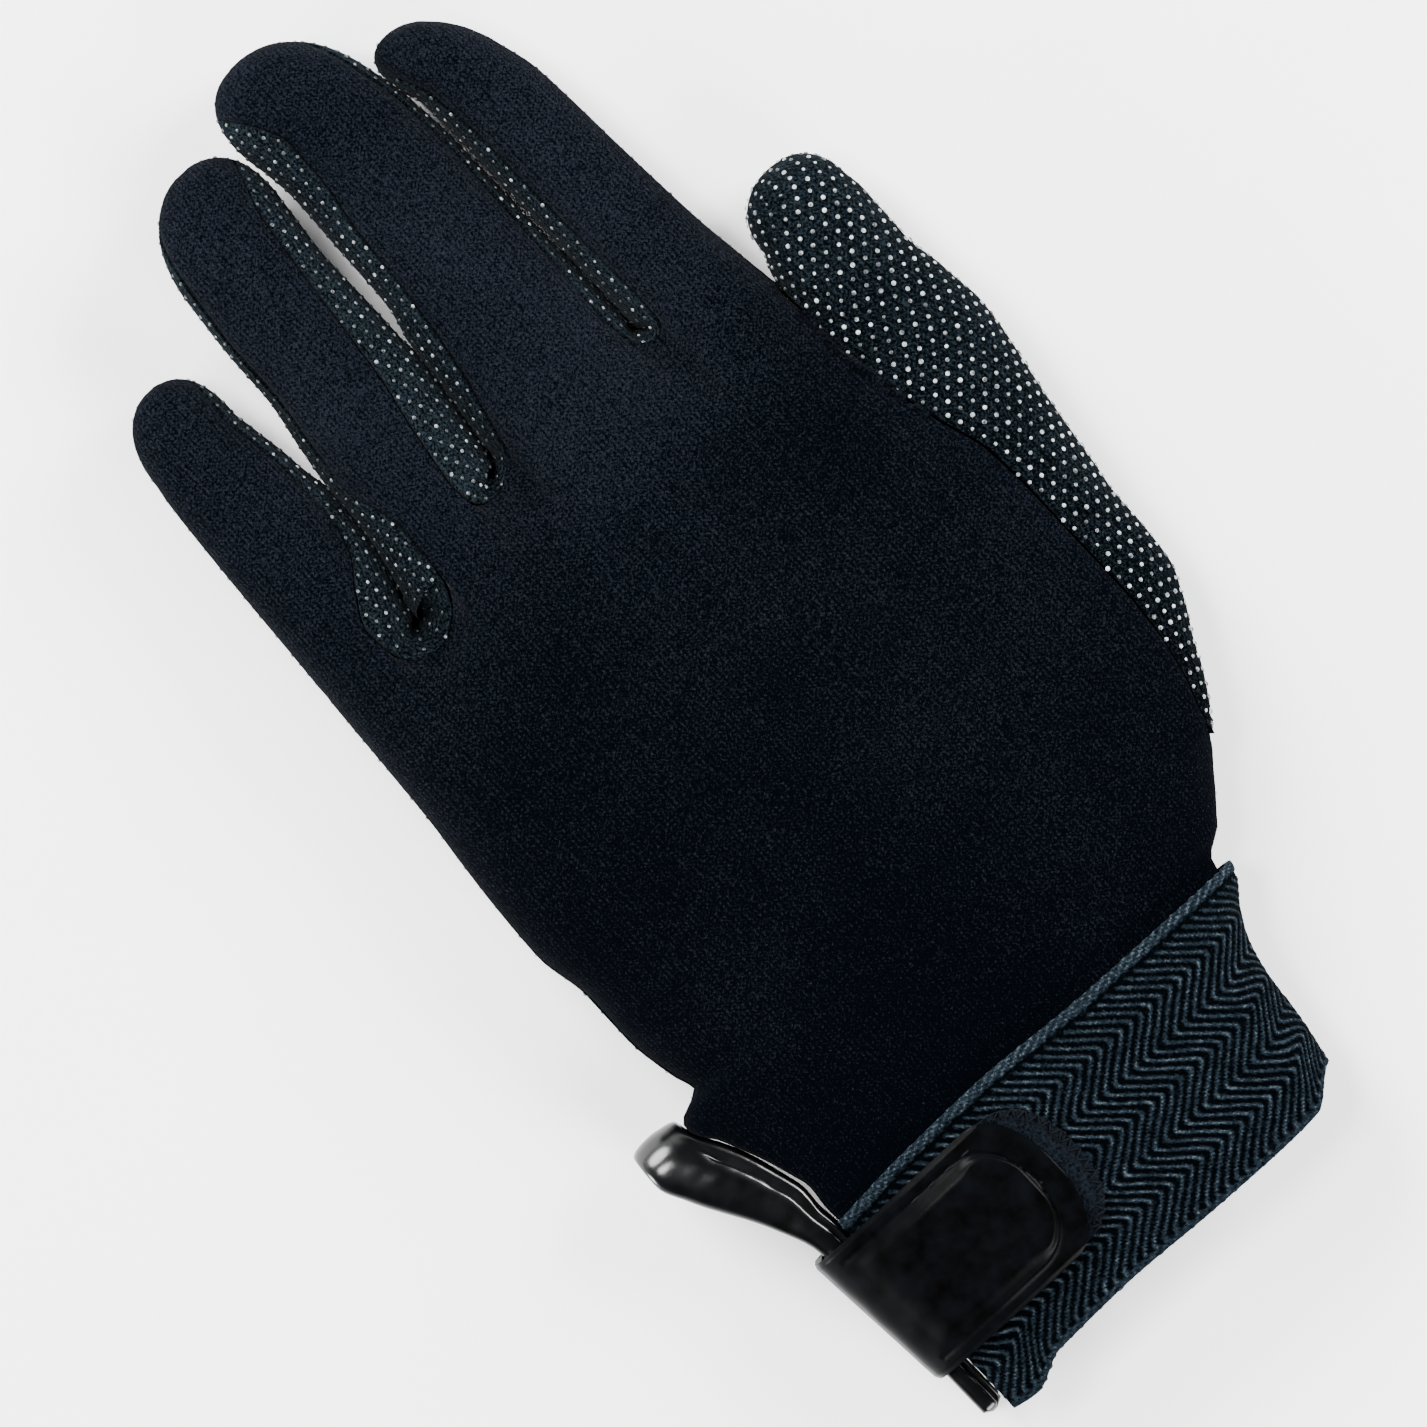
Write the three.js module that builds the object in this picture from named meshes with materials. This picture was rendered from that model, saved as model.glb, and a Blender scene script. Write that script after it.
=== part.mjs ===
// Riding glove for the left hand, lying palm down and filled out.
// +X to the thumb, +Y to the fingertips, +Z up, millimetres, resting on Z = 0.
import * as THREE from "three";

// Hand part
const palmWidth = 115; // side seam to thumb seam at the ball of the thumb
const palmLength = 131.5; // cuff top edge to the crotch of the middle finger
const palmHeight = 27; // crown of the back above the table
const seamHeight = 10; // side seam above the table
const fingerWidth = 23; // middle finger
const fingerHeight = 18.5; // top of the fingers above the table
const fingerLength = 82; // middle finger, crotch to tip
const thumbWidth = 22; // free part of the thumb
const thumbHeight = 20.5;

// Walls
const jerseyWall = 1.3;
const gripWall = 1.5;
const seamGap = 0.36; // between panels sewn to each other

// Cuff
const cuffWidth = 42; // elastic, top edge to hem
const cuffGirthWidth = 94; // elastic lying flat, over its top edge
const cuffHeight = 25; // elastic, crown above the table
const cuffWall = 1.4;
const cuffLap = 7; // jersey that runs on under the elastic
const layerGap = 0.4; // between layers that lie on each other
const facetGap = 0.25; // more room where two round layers are faceted differently

// Closure
const strapWidth = 28.6;
const strapWall = 1.5;
const strapReach = 42; // vent fold to the round end, over the back
const strapTuck = 22; // sewn length under the palm side
const patchWall = 0.8;
const patchMargin = 4.6; // loop patch beyond the strap's round end
const bindingWidth = 9.6; // at the top of the vent
const bindingWall = 2.8;
const ventHeight = 9.4; // between the two bound edges

// Mesh steps
const fingerCols = 5;
const crotchCols = 4;
const shaftRows = 5;
const gussetCols = 3;
const thumbCols = 14;

// Rows from the cuff to the finger roots. y: share of palmLength above the cuff's top edge.
// left, right: the back's edges, palm: the palm's thumb-side edge, shares of palmWidth.
// top: crown, share of palmHeight. lift: how far the two left edges stand apart, share of ventHeight.
const PALM = [
  { y: -0.053, left: -0.38, right: 0.36, palm: 0.36, top: 0.85, lift: 1 },
  { y: -0.008, left: -0.381, right: 0.39, palm: 0.39, top: 0.86, lift: 1 },
  { y: 0.038, left: -0.385, right: 0.434, palm: 0.434, top: 0.88, lift: 1 },
  { y: 0.084, left: -0.399, right: 0.478, palm: 0.478, top: 0.9, lift: 1 },
  { y: 0.129, left: -0.416, right: 0.518, palm: 0.512, top: 0.92, lift: 1 },
  { y: 0.168, left: -0.435, right: 0.53, palm: 0.48, top: 0.935, lift: 1 },
  { y: 0.196, left: -0.448, right: 0.542, palm: 0.455, top: 0.945, lift: 1 },
  { y: 0.217, left: -0.453, right: 0.548, palm: 0.44, top: 0.95, lift: 0.64 },
  { y: 0.228, left: -0.45, right: 0.551, palm: 0.432, top: 0.953, lift: 0.02 },
  { y: 0.25, left: -0.403, right: 0.556, palm: 0.422, top: 0.958, lift: 0 },
  { y: 0.281, left: -0.413, right: 0.561, palm: 0.415, top: 0.965, lift: 0 },
  { y: 0.357, left: -0.425, right: 0.565, palm: 0.408, top: 0.98, lift: 0 },
  { y: 0.433, left: -0.424, right: 0.565, palm: 0.408, top: 0.99, lift: 0 },
  { y: 0.51, left: -0.437, right: 0.565, palm: 0.424, top: 1, lift: 0 },
  { y: 0.586, left: -0.433, right: 0.561, palm: 0.438, top: 1, lift: 0 },
  { y: 0.662, left: -0.425, right: 0.537, palm: 0.456, top: 0.985, lift: 0 },
  { y: 0.738, left: -0.415, right: 0.517, palm: 0.477, top: 0.96, lift: 0 },
  { y: 0.814, left: -0.409, right: 0.503, palm: 0.496, top: 0.925, lift: 0 },
  { y: 0.941, left: -0.4, right: 0.504, palm: 0.504, top: 0.85, lift: 0 },
  { y: 1, left: -0.395, right: 0.497, palm: 0.497, top: 0.8, lift: 0 },
];

// Fingers from the little finger to the index. root: where the two sides start, tip and cap: the round end,
// all y as shares of fingerLength above the crotch line. Rows: y, then sides and seams as shares of fingerWidth
// from the glove's middle line. seamL and seamR: where the back ends and the gusset starts.
const FINGERS = [
  {
    name: "little", root: [-0.092, -0.092], tip: { x: -1.404, y: 0.627 }, cap: 0.157, top: 0.94,
    rows: [
      { y: -0.19, left: -2.01, right: -1.2, seamL: -2.01, seamR: -1.37 },
      { y: -0.055, left: -1.99, right: -1.13, seamL: -1.99, seamR: -1.435 },
      { y: 0.03, left: -1.97, right: -1.015, seamL: -1.97, seamR: -1.283 },
      { y: 0.091, left: -1.957, right: -0.963, seamL: -1.957, seamR: -1.13 },
      { y: 0.189, left: -1.935, right: -0.946, seamL: -1.935, seamR: -1.052 },
      { y: 0.311, left: -1.904, right: -0.97, seamL: -1.904, seamR: -1.052 },
      { y: 0.433, left: -1.865, right: -1.03, seamL: -1.865, seamR: -1.104 },
      { y: 0.47, left: -1.843, right: -1.052, seamL: -1.843, seamR: -1.122 },
    ],
  },
  {
    name: "ring", root: [-0.092, 0.055], tip: { x: -0.117, y: 0.909 }, cap: 0.195, top: 1,
    rows: [
      { y: -0.092, left: -1.065, right: 0.06, seamL: -0.783, seamR: -0.21 },
      { y: 0.03, left: -0.985, right: 0.096, seamL: -0.761, seamR: -0.204 },
      { y: 0.091, left: -0.943, right: 0.126, seamL: -0.778, seamR: -0.217 },
      { y: 0.189, left: -0.927, right: 0.178, seamL: -0.852, seamR: -0.174 },
      { y: 0.311, left: -0.852, right: 0.226, seamL: -0.809, seamR: -0.087 },
      { y: 0.433, left: -0.804, right: 0.235, seamL: -0.752, seamR: -0.03 },
      { y: 0.555, left: -0.791, right: 0.235, seamL: -0.739, seamR: 0.022 },
      { y: 0.714, left: -0.739, right: 0.287, seamL: -0.678, seamR: 0.096 },
    ],
  },
  {
    name: "middle", root: [0.055, 0.043], tip: { x: 0.726, y: 0.998 }, cap: 0.199, top: 1.02,
    rows: [
      { y: 0.03, left: 0.117, right: 1.53, seamL: 0.217, seamR: 1.435 },
      { y: 0.091, left: 0.145, right: 1.53, seamL: 0.27, seamR: 1.417 },
      { y: 0.189, left: 0.197, right: 1.53, seamL: 0.357, seamR: 1.435 },
      { y: 0.311, left: 0.25, right: 1.53, seamL: 0.435, seamR: 1.448 },
      { y: 0.433, left: 0.322, right: 1.53, seamL: 0.487, seamR: 1.457 },
      { y: 0.555, left: 0.339, right: 1.53, seamL: 0.522, seamR: 1.47 },
      { y: 0.714, left: 0.361, right: 1.491, seamL: 0.6, seamR: 1.435 },
      { y: 0.799, left: 0.33, right: 1.43, seamL: 0.609, seamR: 1.374 },
    ],
  },
  {
    name: "index", root: [0.043, -0.095], tip: { x: 1.674, y: 0.827 }, cap: 0.15, top: 0.98,
    rows: [
      { y: -0.095, left: 1.58, right: 2.522, seamL: 1.7, seamR: 2.522 },
      { y: 0.03, left: 1.549, right: 2.465, seamL: 1.687, seamR: 2.465 },
      { y: 0.091, left: 1.549, right: 2.439, seamL: 1.696, seamR: 2.439 },
      { y: 0.189, left: 1.549, right: 2.413, seamL: 1.687, seamR: 2.413 },
      { y: 0.311, left: 1.549, right: 2.387, seamL: 1.674, seamR: 2.387 },
      { y: 0.555, left: 1.551, right: 2.339, seamL: 1.657, seamR: 2.339 },
      { y: 0.677, left: 1.535, right: 2.235, seamL: 1.61, seamR: 2.235 },
    ],
  },
];

// Crotches between neighbouring fingers, shares of fingerLength. back, palm: how far the round notch of the back
// and of the palm reaches below the finger roots. dip: how far it hangs under the finger seams, share of fingerHeight.
const CROTCHES = [
  { back: 0.105, palm: 0.02, dip: 0.16 },
  { back: 0.055, palm: 0.02, dip: 0.12 },
  { back: 0.05, palm: 0.0, dip: 0.06 },
];

// Thumb rows above the cuff's top edge, y as share of palmLength. inner: its inner side, which lies inside the palm
// below the crotch, outer: its free side, shares of palmWidth. top: share of thumbHeight.
const THUMB = [
  { y: 0.129, inner: 0.43, outer: 0.5235, top: 0.78 },
  { y: 0.168, inner: 0.4, outer: 0.556, top: 0.84 },
  { y: 0.196, inner: 0.39, outer: 0.574, top: 0.87 },
  { y: 0.228, inner: 0.385, outer: 0.593, top: 0.89 },
  { y: 0.281, inner: 0.38, outer: 0.627, top: 0.92 },
  { y: 0.32, inner: 0.38, outer: 0.646, top: 0.94 },
  { y: 0.357, inner: 0.382, outer: 0.652, top: 0.955 },
  { y: 0.433, inner: 0.39, outer: 0.657, top: 0.97 },
  { y: 0.51, inner: 0.4, outer: 0.67, top: 1 },
  { y: 0.586, inner: 0.415, outer: 0.682, top: 1 },
  { y: 0.662, inner: 0.432, outer: 0.698, top: 0.99 },
  { y: 0.738, inner: 0.455, outer: 0.708, top: 0.97 },
  { y: 0.814, inner: 0.478, outer: 0.7, top: 0.95 },
  { y: 0.86, inner: 0.49, outer: 0.694, top: 0.94 },
  { y: 0.9, inner: 0.5, outer: 0.6945, top: 0.93 },
  { y: 0.941, inner: 0.5085, outer: 0.695, top: 0.92 },
  { y: 0.99, inner: 0.53, outer: 0.688, top: 0.9 },
];
const thumbTip = { x: 0.609, y: 1.049, cap: 0.075 };

// Elastic from its top edge to the hem. v: share of cuffWidth, right: its thumb-side fold, share of cuffGirthWidth
// from the glove's middle line.
const CUFF = [
  { v: 0, right: 0.496, top: 1 },
  { v: 0.07, right: 0.487, top: 0.995 },
  { v: 0.2, right: 0.45, top: 0.985 },
  { v: 0.32, right: 0.425, top: 0.975 },
  { v: 0.5, right: 0.406, top: 0.965 },
  { v: 0.75, right: 0.395, top: 0.955 },
  { v: 1, right: 0.378, top: 0.945 },
];
// Edge waves of the elastic, x from the vent (0) to the thumb-side fold (1), shares of cuffWidth.
const CUFF_EDGE = [
  { x: 0, top: 0, hem: 0.035 },
  { x: 0.06, top: 0.012, hem: 0.05 },
  { x: 0.16, top: 0.028, hem: -0.02 },
  { x: 0.35, top: 0.035, hem: -0.03 },
  { x: 0.6, top: 0.0, hem: -0.005 },
  { x: 0.85, top: -0.02, hem: 0.012 },
  { x: 1, top: -0.035, hem: 0 },
];

// Bound edge of the vent. y: share of palmLength from the cuff's top edge, x: middle of the strip, share of
// palmWidth, w: share of bindingWidth.
const VENT = [
  { y: -0.325, x: -0.4, w: 0.38 },
  { y: -0.24, x: -0.401, w: 0.38 },
  { y: -0.12, x: -0.402, w: 0.42 },
  { y: -0.01, x: -0.407, w: 0.56 },
  { y: 0.045, x: -0.422, w: 0.72 },
  { y: 0.1, x: -0.444, w: 0.85 },
  { y: 0.15, x: -0.467, w: 0.95 },
  { y: 0.19, x: -0.489, w: 1 },
  { y: 0.24, x: -0.497, w: 0.94 },
];

// Soft folds of the back. x: share of palmWidth, y: share of palmLength, turn: degrees from +X,
// length, width: shares of palmWidth, rise: share of palmHeight.
const FOLDS = [
  { x: 0.2, y: 0.13, turn: -33, length: 0.2, width: 0.034, rise: 0.035 },
  { x: 0.3, y: 0.09, turn: -38, length: 0.15, width: 0.026, rise: 0.04 },
  { x: 0.1, y: 0.22, turn: -24, length: 0.22, width: 0.04, rise: 0.024 },
  { x: -0.08, y: 0.17, turn: -14, length: 0.22, width: 0.04, rise: 0.02 },
  { x: 0.37, y: 0.05, turn: -62, length: 0.09, width: 0.02, rise: 0.035 },
];

const roundness = 2.3; // section shape of fingers and thumb, 2 is an ellipse
const flatness = 0.6; // how far the soft round underside presses flat
const wristLine = 0; // cuff's top edge
const crotchLine = palmLength;

const clamp = (v, lo, hi) => Math.min(hi, Math.max(lo, v));
const lerp = (a, b, t) => a + (b - a) * t;
const smooth = (a, b, v) => {
  const t = clamp((v - a) / (b - a), 0, 1);
  return t * t * (3 - 2 * t);
};
const sup = (v, e) => Math.sign(v) * Math.abs(v) ** e;

// Smooth curve through the rows of a table that never overshoots them.
function along(rows, at, key, value) {
  const n = rows.length;
  const v = clamp(value, rows[0][at], rows[n - 1][at]);
  let i = 0;
  while (i < n - 2 && v > rows[i + 1][at]) i++;
  const slope = (k) => (rows[k + 1][key] - rows[k][key]) / (rows[k + 1][at] - rows[k][at]);
  const tangent = (k) => {
    if (k === 0) return slope(0);
    if (k === n - 1) return slope(n - 2);
    const [p, q] = [slope(k - 1), slope(k)];
    return p * q <= 0 ? 0 : (2 * p * q) / (p + q);
  };
  const h = rows[i + 1][at] - rows[i][at];
  const t = (v - rows[i][at]) / h;
  const t2 = t * t, t3 = t2 * t;
  return (2 * t3 - 3 * t2 + 1) * rows[i][key] + (t3 - 2 * t2 + t) * h * tangent(i) +
    (3 * t2 - 2 * t3) * rows[i + 1][key] + (t3 - t2) * h * tangent(i + 1);
}

// Sheet with a wall: outer points, unit normals, quads seen from outside, and the wall behind them.
function sheet(name, points, normals, quads, wall, material) {
  const inner = points.map((p, i) => p.clone().addScaledVector(normals[i], -wall));
  const all = [...points, ...inner];
  const n = points.length;
  const index = [];
  const edges = new Map();
  for (const quad of quads) {
    const face = quad.filter((id, i) => id !== quad[(i + 1) % quad.length]);
    for (let i = 1; i + 1 < face.length; i++) {
      index.push(face[0], face[i], face[i + 1], face[0] + n, face[i + 1] + n, face[i] + n);
    }
    face.forEach((id, i) => edges.set(`${id}_${face[(i + 1) % face.length]}`, [id, face[(i + 1) % face.length]]));
  }
  for (const [a, b] of edges.values()) {
    if (!edges.has(`${b}_${a}`)) index.push(b, a, a + n, b, a + n, b + n);
  }
  return solid(name, all, index, material);
}

function solid(name, points, index, material) {
  const geometry = new THREE.BufferGeometry();
  geometry.setAttribute("position", new THREE.Float32BufferAttribute(points.flatMap((p) => [p.x, p.y, p.z]), 3));
  geometry.setIndex(index);
  geometry.computeVertexNormals();
  const mesh = new THREE.Mesh(geometry, material);
  mesh.name = name;
  return mesh;
}

// Normals of a sheet from its own quads, then the given ones put in at the seams.
function sheetNormals(points, quads, fixed) {
  const normals = points.map(() => new THREE.Vector3());
  for (const q of quads) {
    const d1 = points[q[2]].clone().sub(points[q[0]]);
    const d2 = points[q[3]].clone().sub(points[q[1]]);
    const c = d1.cross(d2);
    for (const id of new Set(q)) normals[id].add(c);
  }
  normals.forEach((v, i) => (fixed.has(i) ? v.copy(fixed.get(i)) : v.normalize()));
  return normals;
}

// Round section, side to side, with a crown above its middle height and a pressed flat underside.
function section(left, right, top, middle, angle) {
  const c = Math.cos(angle), s = Math.sin(angle);
  const e = 2 / roundness;
  const half = (right - left) / 2;
  const x = (left + right) / 2 + half * sup(c, e);
  const rise = s > 0 ? top - middle : middle + flatness;
  const z = Math.max(0, middle + rise * sup(s, e));
  const nx = sup(c, 2 - e) / half;
  const nz = sup(s, 2 - e) / rise;
  const len = Math.hypot(nx, nz);
  return { x, z, nx: nx / len, nz: nz / len };
}
const angleAt = (left, right, x, up) => {
  const k = clamp((x - (left + right) / 2) / ((right - left) / 2), -1, 1);
  const a = Math.acos(sup(k, roundness / 2));
  return up ? a : -a;
};

// One finger at height y: sides, crown and the angles at which its back and its palm end.
const sideInset = 0.14; // palm seam inside the finger's side, share of fingerWidth
const gussetEnd = 0.7; // where the gusset would run out in the round end
function fingerAt(f, y) {
  const yTip = crotchLine + f.tip.y * fingerLength;
  const cap = f.cap * fingerLength;
  const share = (Math.min(y, yTip - cap) - crotchLine) / fingerLength;
  const get = (key) => along(f.rows, "y", key, share) * fingerWidth;
  let [left, right, seamL, seamR] = [get("left"), get("right"), get("seamL"), get("seamR")];
  const t = clamp((y - (yTip - cap)) / cap, 0, 1);
  const w = (1 - t ** roundness) ** (1 / roundness);
  const middle = lerp((left + right) / 2, f.tip.x * fingerWidth, t);
  const half = (right - left) / 2;
  const root = 1 + 0.14 * smooth(crotchLine + 0.35 * fingerLength, crotchLine - 0.1 * fingerLength, y);
  const top = f.top * fingerHeight * root;
  const inset = sideInset * fingerWidth;
  const fade = Math.sqrt(clamp(1 - (t / gussetEnd) ** 2, 0, 1));
  const hasL = f !== FINGERS[0], hasR = f !== FINGERS[FINGERS.length - 1];
  const upR = hasR ? angleAt(left, right, seamR, true) * fade : 0;
  const upL = hasL ? Math.PI - (Math.PI - angleAt(left, right, seamL, true)) * fade : Math.PI;
  const downR = hasR ? angleAt(left, right, right - inset, false) * fade : 0;
  const downL = hasL ? -Math.PI + (Math.PI + angleAt(left, right, left + inset, false)) * fade : -Math.PI;
  return {
    left: middle - half * w, right: middle + half * w,
    top: lerp(seamHeight, top, w), middle: seamHeight * lerp(0.92, 1, 1 - t), flat: w, upR, upL, downR, downL,
  };
}
function fingerPoint(f, yL, yR, angle) {
  const k = (1 - Math.cos(angle)) / 2;
  const y = lerp(yR, yL, k);
  const g = fingerAt(f, y);
  const s = section(g.left, g.right, g.top, g.middle, angle);
  const z = s.z < g.middle ? lerp(g.middle, s.z, g.flat) : s.z;
  const tilt = Math.sqrt(Math.max(0, 1 - g.flat * g.flat));
  const nrm = new THREE.Vector3(s.nx * (1 - 0.6 * tilt), tilt, s.nz * (1 - 0.6 * tilt)).normalize();
  return { p: new THREE.Vector3(s.x, y, z), n: nrm };
}

// Rows of a finger: straight shares along the shaft, then the round end.
const CAP_STEPS = [0.35, 0.62, 0.82, 0.95];
const gussetRows = shaftRows + 2; // the gusset runs two rows into the round end
function fingerRows(f) {
  const capStart = crotchLine + (f.tip.y - f.cap) * fingerLength;
  const rows = [];
  for (let i = 0; i <= shaftRows; i++) {
    rows.push(f.root.map((r) => lerp(crotchLine + r * fingerLength, capStart, i / shaftRows)));
  }
  for (const t of CAP_STEPS) rows.push([capStart + t * f.cap * fingerLength, capStart + t * f.cap * fingerLength]);
  return rows;
}
function seamAngles(f, row, up) {
  const right = fingerAt(f, row[1]), left = fingerAt(f, row[0]);
  return up ? [left.upL, right.upR] : [left.downL, right.downR];
}

// Seam point on one side of a finger row, with its normal and the direction across the seam, from the panel outwards.
function fingerSeam(f, row, side, up) {
  const [aL, aR] = seamAngles(f, row, up);
  const angle = side > 0 ? aR : aL;
  const here = fingerPoint(f, row[0], row[1], angle);
  const step = (side > 0 ? -1 : 1) * (up ? 1 : -1) * 0.02;
  const across = fingerPoint(f, row[0], row[1], angle + step).p.sub(here.p).normalize();
  return { p: here.p, n: here.n, across };
}

// Round notch between finger a's right side and finger b's left side: stations with the back's seam point, the
// palm's seam point and the plan direction into the gap.
function crotchStations(k) {
  const [a, b] = [FINGERS[k], FINGERS[k + 1]];
  const [ra, rb] = [fingerRows(a)[0], fingerRows(b)[0]];
  const shape = CROTCHES[k];
  const out = [];
  const ends = [true, false].map((up) => [fingerSeam(a, ra, 1, up), fingerSeam(b, rb, -1, up)]);
  for (let j = 1; j < crotchCols; j++) {
    const th = (Math.PI * j) / crotchCols;
    const k2 = (1 - Math.cos(th)) / 2;
    const into = new THREE.Vector3(Math.cos(th), Math.sin(th), 0);
    const seam = ends.map(([s, e], i) => {
      const depth = (i === 0 ? shape.back : shape.palm) * fingerLength;
      const p = s.p.clone().lerp(e.p, k2);
      p.y -= depth * Math.sin(th);
      p.z -= i === 0 ? shape.dip * fingerHeight * Math.sin(th) : 0;
      const flat = lerp(Math.hypot(s.n.x, s.n.y), Math.hypot(e.n.x, e.n.y), k2);
      const nz = lerp(s.n.z, e.n.z, k2);
      const n = into.clone().multiplyScalar(Math.max(flat, 0.5)).add(new THREE.Vector3(0, 0, nz)).normalize();
      const across = new THREE.Vector3(0, 0, i === 0 ? -1 : 1).addScaledVector(into, nz * (i === 0 ? 1 : -1)).normalize();
      return { p, n, across };
    });
    out.push({ into, up: seam[0], down: seam[1] });
  }
  return out;
}

// Cuff section: the elastic's outer face moved inwards by d, at share v of its width.
const ventX = -0.381 * palmWidth; // elastic's end at the vent
const cuffLeft = ventX - 0.05 * cuffGirthWidth; // where the closed ring would turn round
const cuffRaise = strapWall + layerGap + 0.1; // palm side lifted over the strap's tuck
function cuffSection(x, v, d, up) {
  const right = along(CUFF, "v", "right", v) * cuffGirthWidth - d;
  const top = along(CUFF, "v", "top", v) * cuffHeight - d;
  const left = cuffLeft + d;
  const middle = seamHeight + 1.5;
  const k = clamp((x - (left + right) / 2) / ((right - left) / 2), -1, 1);
  const e = up ? 2.5 : 4.5;
  const w = (1 - Math.abs(k) ** e) ** (1 / (up ? 2.1 : 2.5));
  const raise = cuffRaise * smooth(ventX + strapTuck + 14, ventX + strapTuck + 1, x);
  const bottom = Math.max(raise, middle - (middle + flatness) * w) + d;
  return { z: up ? middle + (top - middle) * w : Math.max(bottom, middle - (middle - d) * w), right, left, middle };
}

// Back and palm from cuff to finger roots: x across from 0 at the left edge to 1 at the right one.
function thumbAt(y) {
  const share = y / palmLength;
  const tipY = thumbTip.y, cap = thumbTip.cap;
  const s = Math.min(share, tipY - cap);
  const t = clamp((share - (tipY - cap)) / cap, 0, 1);
  const w = (1 - t ** roundness) ** (1 / roundness);
  const inner = along(THUMB, "y", "inner", s) * palmWidth;
  const outer = Math.max(along(THUMB, "y", "outer", s) * palmWidth, inner + 1);
  const top = along(THUMB, "y", "top", s) * thumbHeight;
  const free = smooth(0.9, 1, share) * t;
  const middle = lerp((inner + outer) / 2, thumbTip.x * palmWidth, t);
  const half = lerp((outer - inner) / 2, Math.min((outer - inner) / 2, thumbWidth / 2), free);
  return { inner: middle - half * w, outer: middle + half * w, top: lerp(seamHeight, top, w), flat: w };
}
const thumbEnd = THUMB[0].y * palmLength; // where the thumb piece runs out near the cuff
const thumbCrotch = 0.941 * palmLength;
function thumbPoint(y, angle) {
  const g = thumbAt(y);
  const s = section(g.inner, g.outer, g.top, seamHeight, angle);
  const z = s.z < seamHeight ? lerp(seamHeight, s.z, g.flat) : s.z;
  const tilt = Math.sqrt(Math.max(0, 1 - g.flat * g.flat));
  const n = new THREE.Vector3(s.nx * (1 - 0.6 * tilt), tilt, s.nz * (1 - 0.6 * tilt)).normalize();
  return { p: new THREE.Vector3(s.x, y, z), n };
}
function thumbSeam(y, up) {
  const x = along(PALM, "y", up ? "right" : "palm", y / palmLength) * palmWidth;
  const g = thumbAt(y);
  const open = smooth(thumbCrotch, thumbCrotch - 0.05 * palmLength, y);
  const flat = angleAt(g.inner, g.outer, Math.max(x, g.inner), up);
  const angle = up ? lerp(Math.PI, flat, open) : lerp(-Math.PI, flat, open);
  const here = thumbPoint(y, angle);
  const next = thumbPoint(y, angle + (up ? -0.02 : 0.02));
  return { p: here.p, n: here.n, across: next.p.sub(here.p).normalize(), angle };
}

function foldRise(x, y) {
  let z = 0;
  for (const f of FOLDS) {
    const a = THREE.MathUtils.degToRad(f.turn);
    const dx = x - f.x * palmWidth, dy = y - f.y * palmLength;
    const u = (dx * Math.cos(a) + dy * Math.sin(a)) / (f.length * palmWidth);
    const v = (-dx * Math.sin(a) + dy * Math.cos(a)) / (f.width * palmWidth);
    z += f.rise * palmHeight * Math.exp(-u * u - v * v) * (1 - 0.5 * Math.exp(-((v - 1.6) ** 2)));
  }
  return z;
}

function palmEdges(y, up) {
  const share = y / palmLength;
  const left = along(PALM, "y", "left", share) * palmWidth;
  const right = along(PALM, "y", up ? "right" : "palm", share) * palmWidth;
  const lift = along(PALM, "y", "lift", share) * ventHeight * 0.5;
  const zLeft = seamHeight + (up ? lift : -lift);
  const inThumb = y > thumbEnd - 1e-6 && y < thumbCrotch - 1e-6;
  const seam = inThumb ? thumbSeam(y, up) : null;
  return { left, right: seam ? seam.p.x : right, zLeft, zRight: seam ? seam.p.z : seamHeight, seam };
}

function palmPoint(y, f, up) {
  const e = palmEdges(y, up);
  const x = lerp(e.left, e.right, f);
  const k = 2 * f - 1;
  const zEdge = k < 0 ? e.zLeft : e.zRight;
  const open = k < 0 ? along(PALM, "y", "lift", y / palmLength) : smooth(seamHeight, thumbHeight * 0.8, Math.abs(e.zRight));
  let z;
  if (up) {
    const w = (1 - Math.abs(k) ** 2.5) ** (1 / lerp(2.1, 1.35, open));
    z = zEdge + (along(PALM, "y", "top", y / palmLength) * palmHeight - zEdge) * w + foldRise(x, y) * w;
  } else {
    const w = (1 - Math.abs(k) ** 5) ** (1 / 2.2);
    z = Math.max(0, zEdge - (zEdge + flatness) * w);
  }
  // Under the elastic the panels follow it from inside.
  const lap = smooth(0.09 * palmLength, 0.005 * palmLength, y);
  if (lap > 0) {
    const v = clamp((wristLine - y) / cuffWidth, 0, 1);
    const d = cuffWall + layerGap + facetGap * (up ? 1 : 1.5);
    const c = cuffSection(x, v, d, up);
    const xr = lerp(e.right, c.right, lap);
    const x2 = lerp(e.left, xr, f);
    const c2 = cuffSection(x2, v, d, up);
    const zc = f === 1 ? c2.middle : c2.z;
    return new THREE.Vector3(x2, y, lerp(z, zc, lap));
  }
  return new THREE.Vector3(x, y, z);
}

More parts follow.
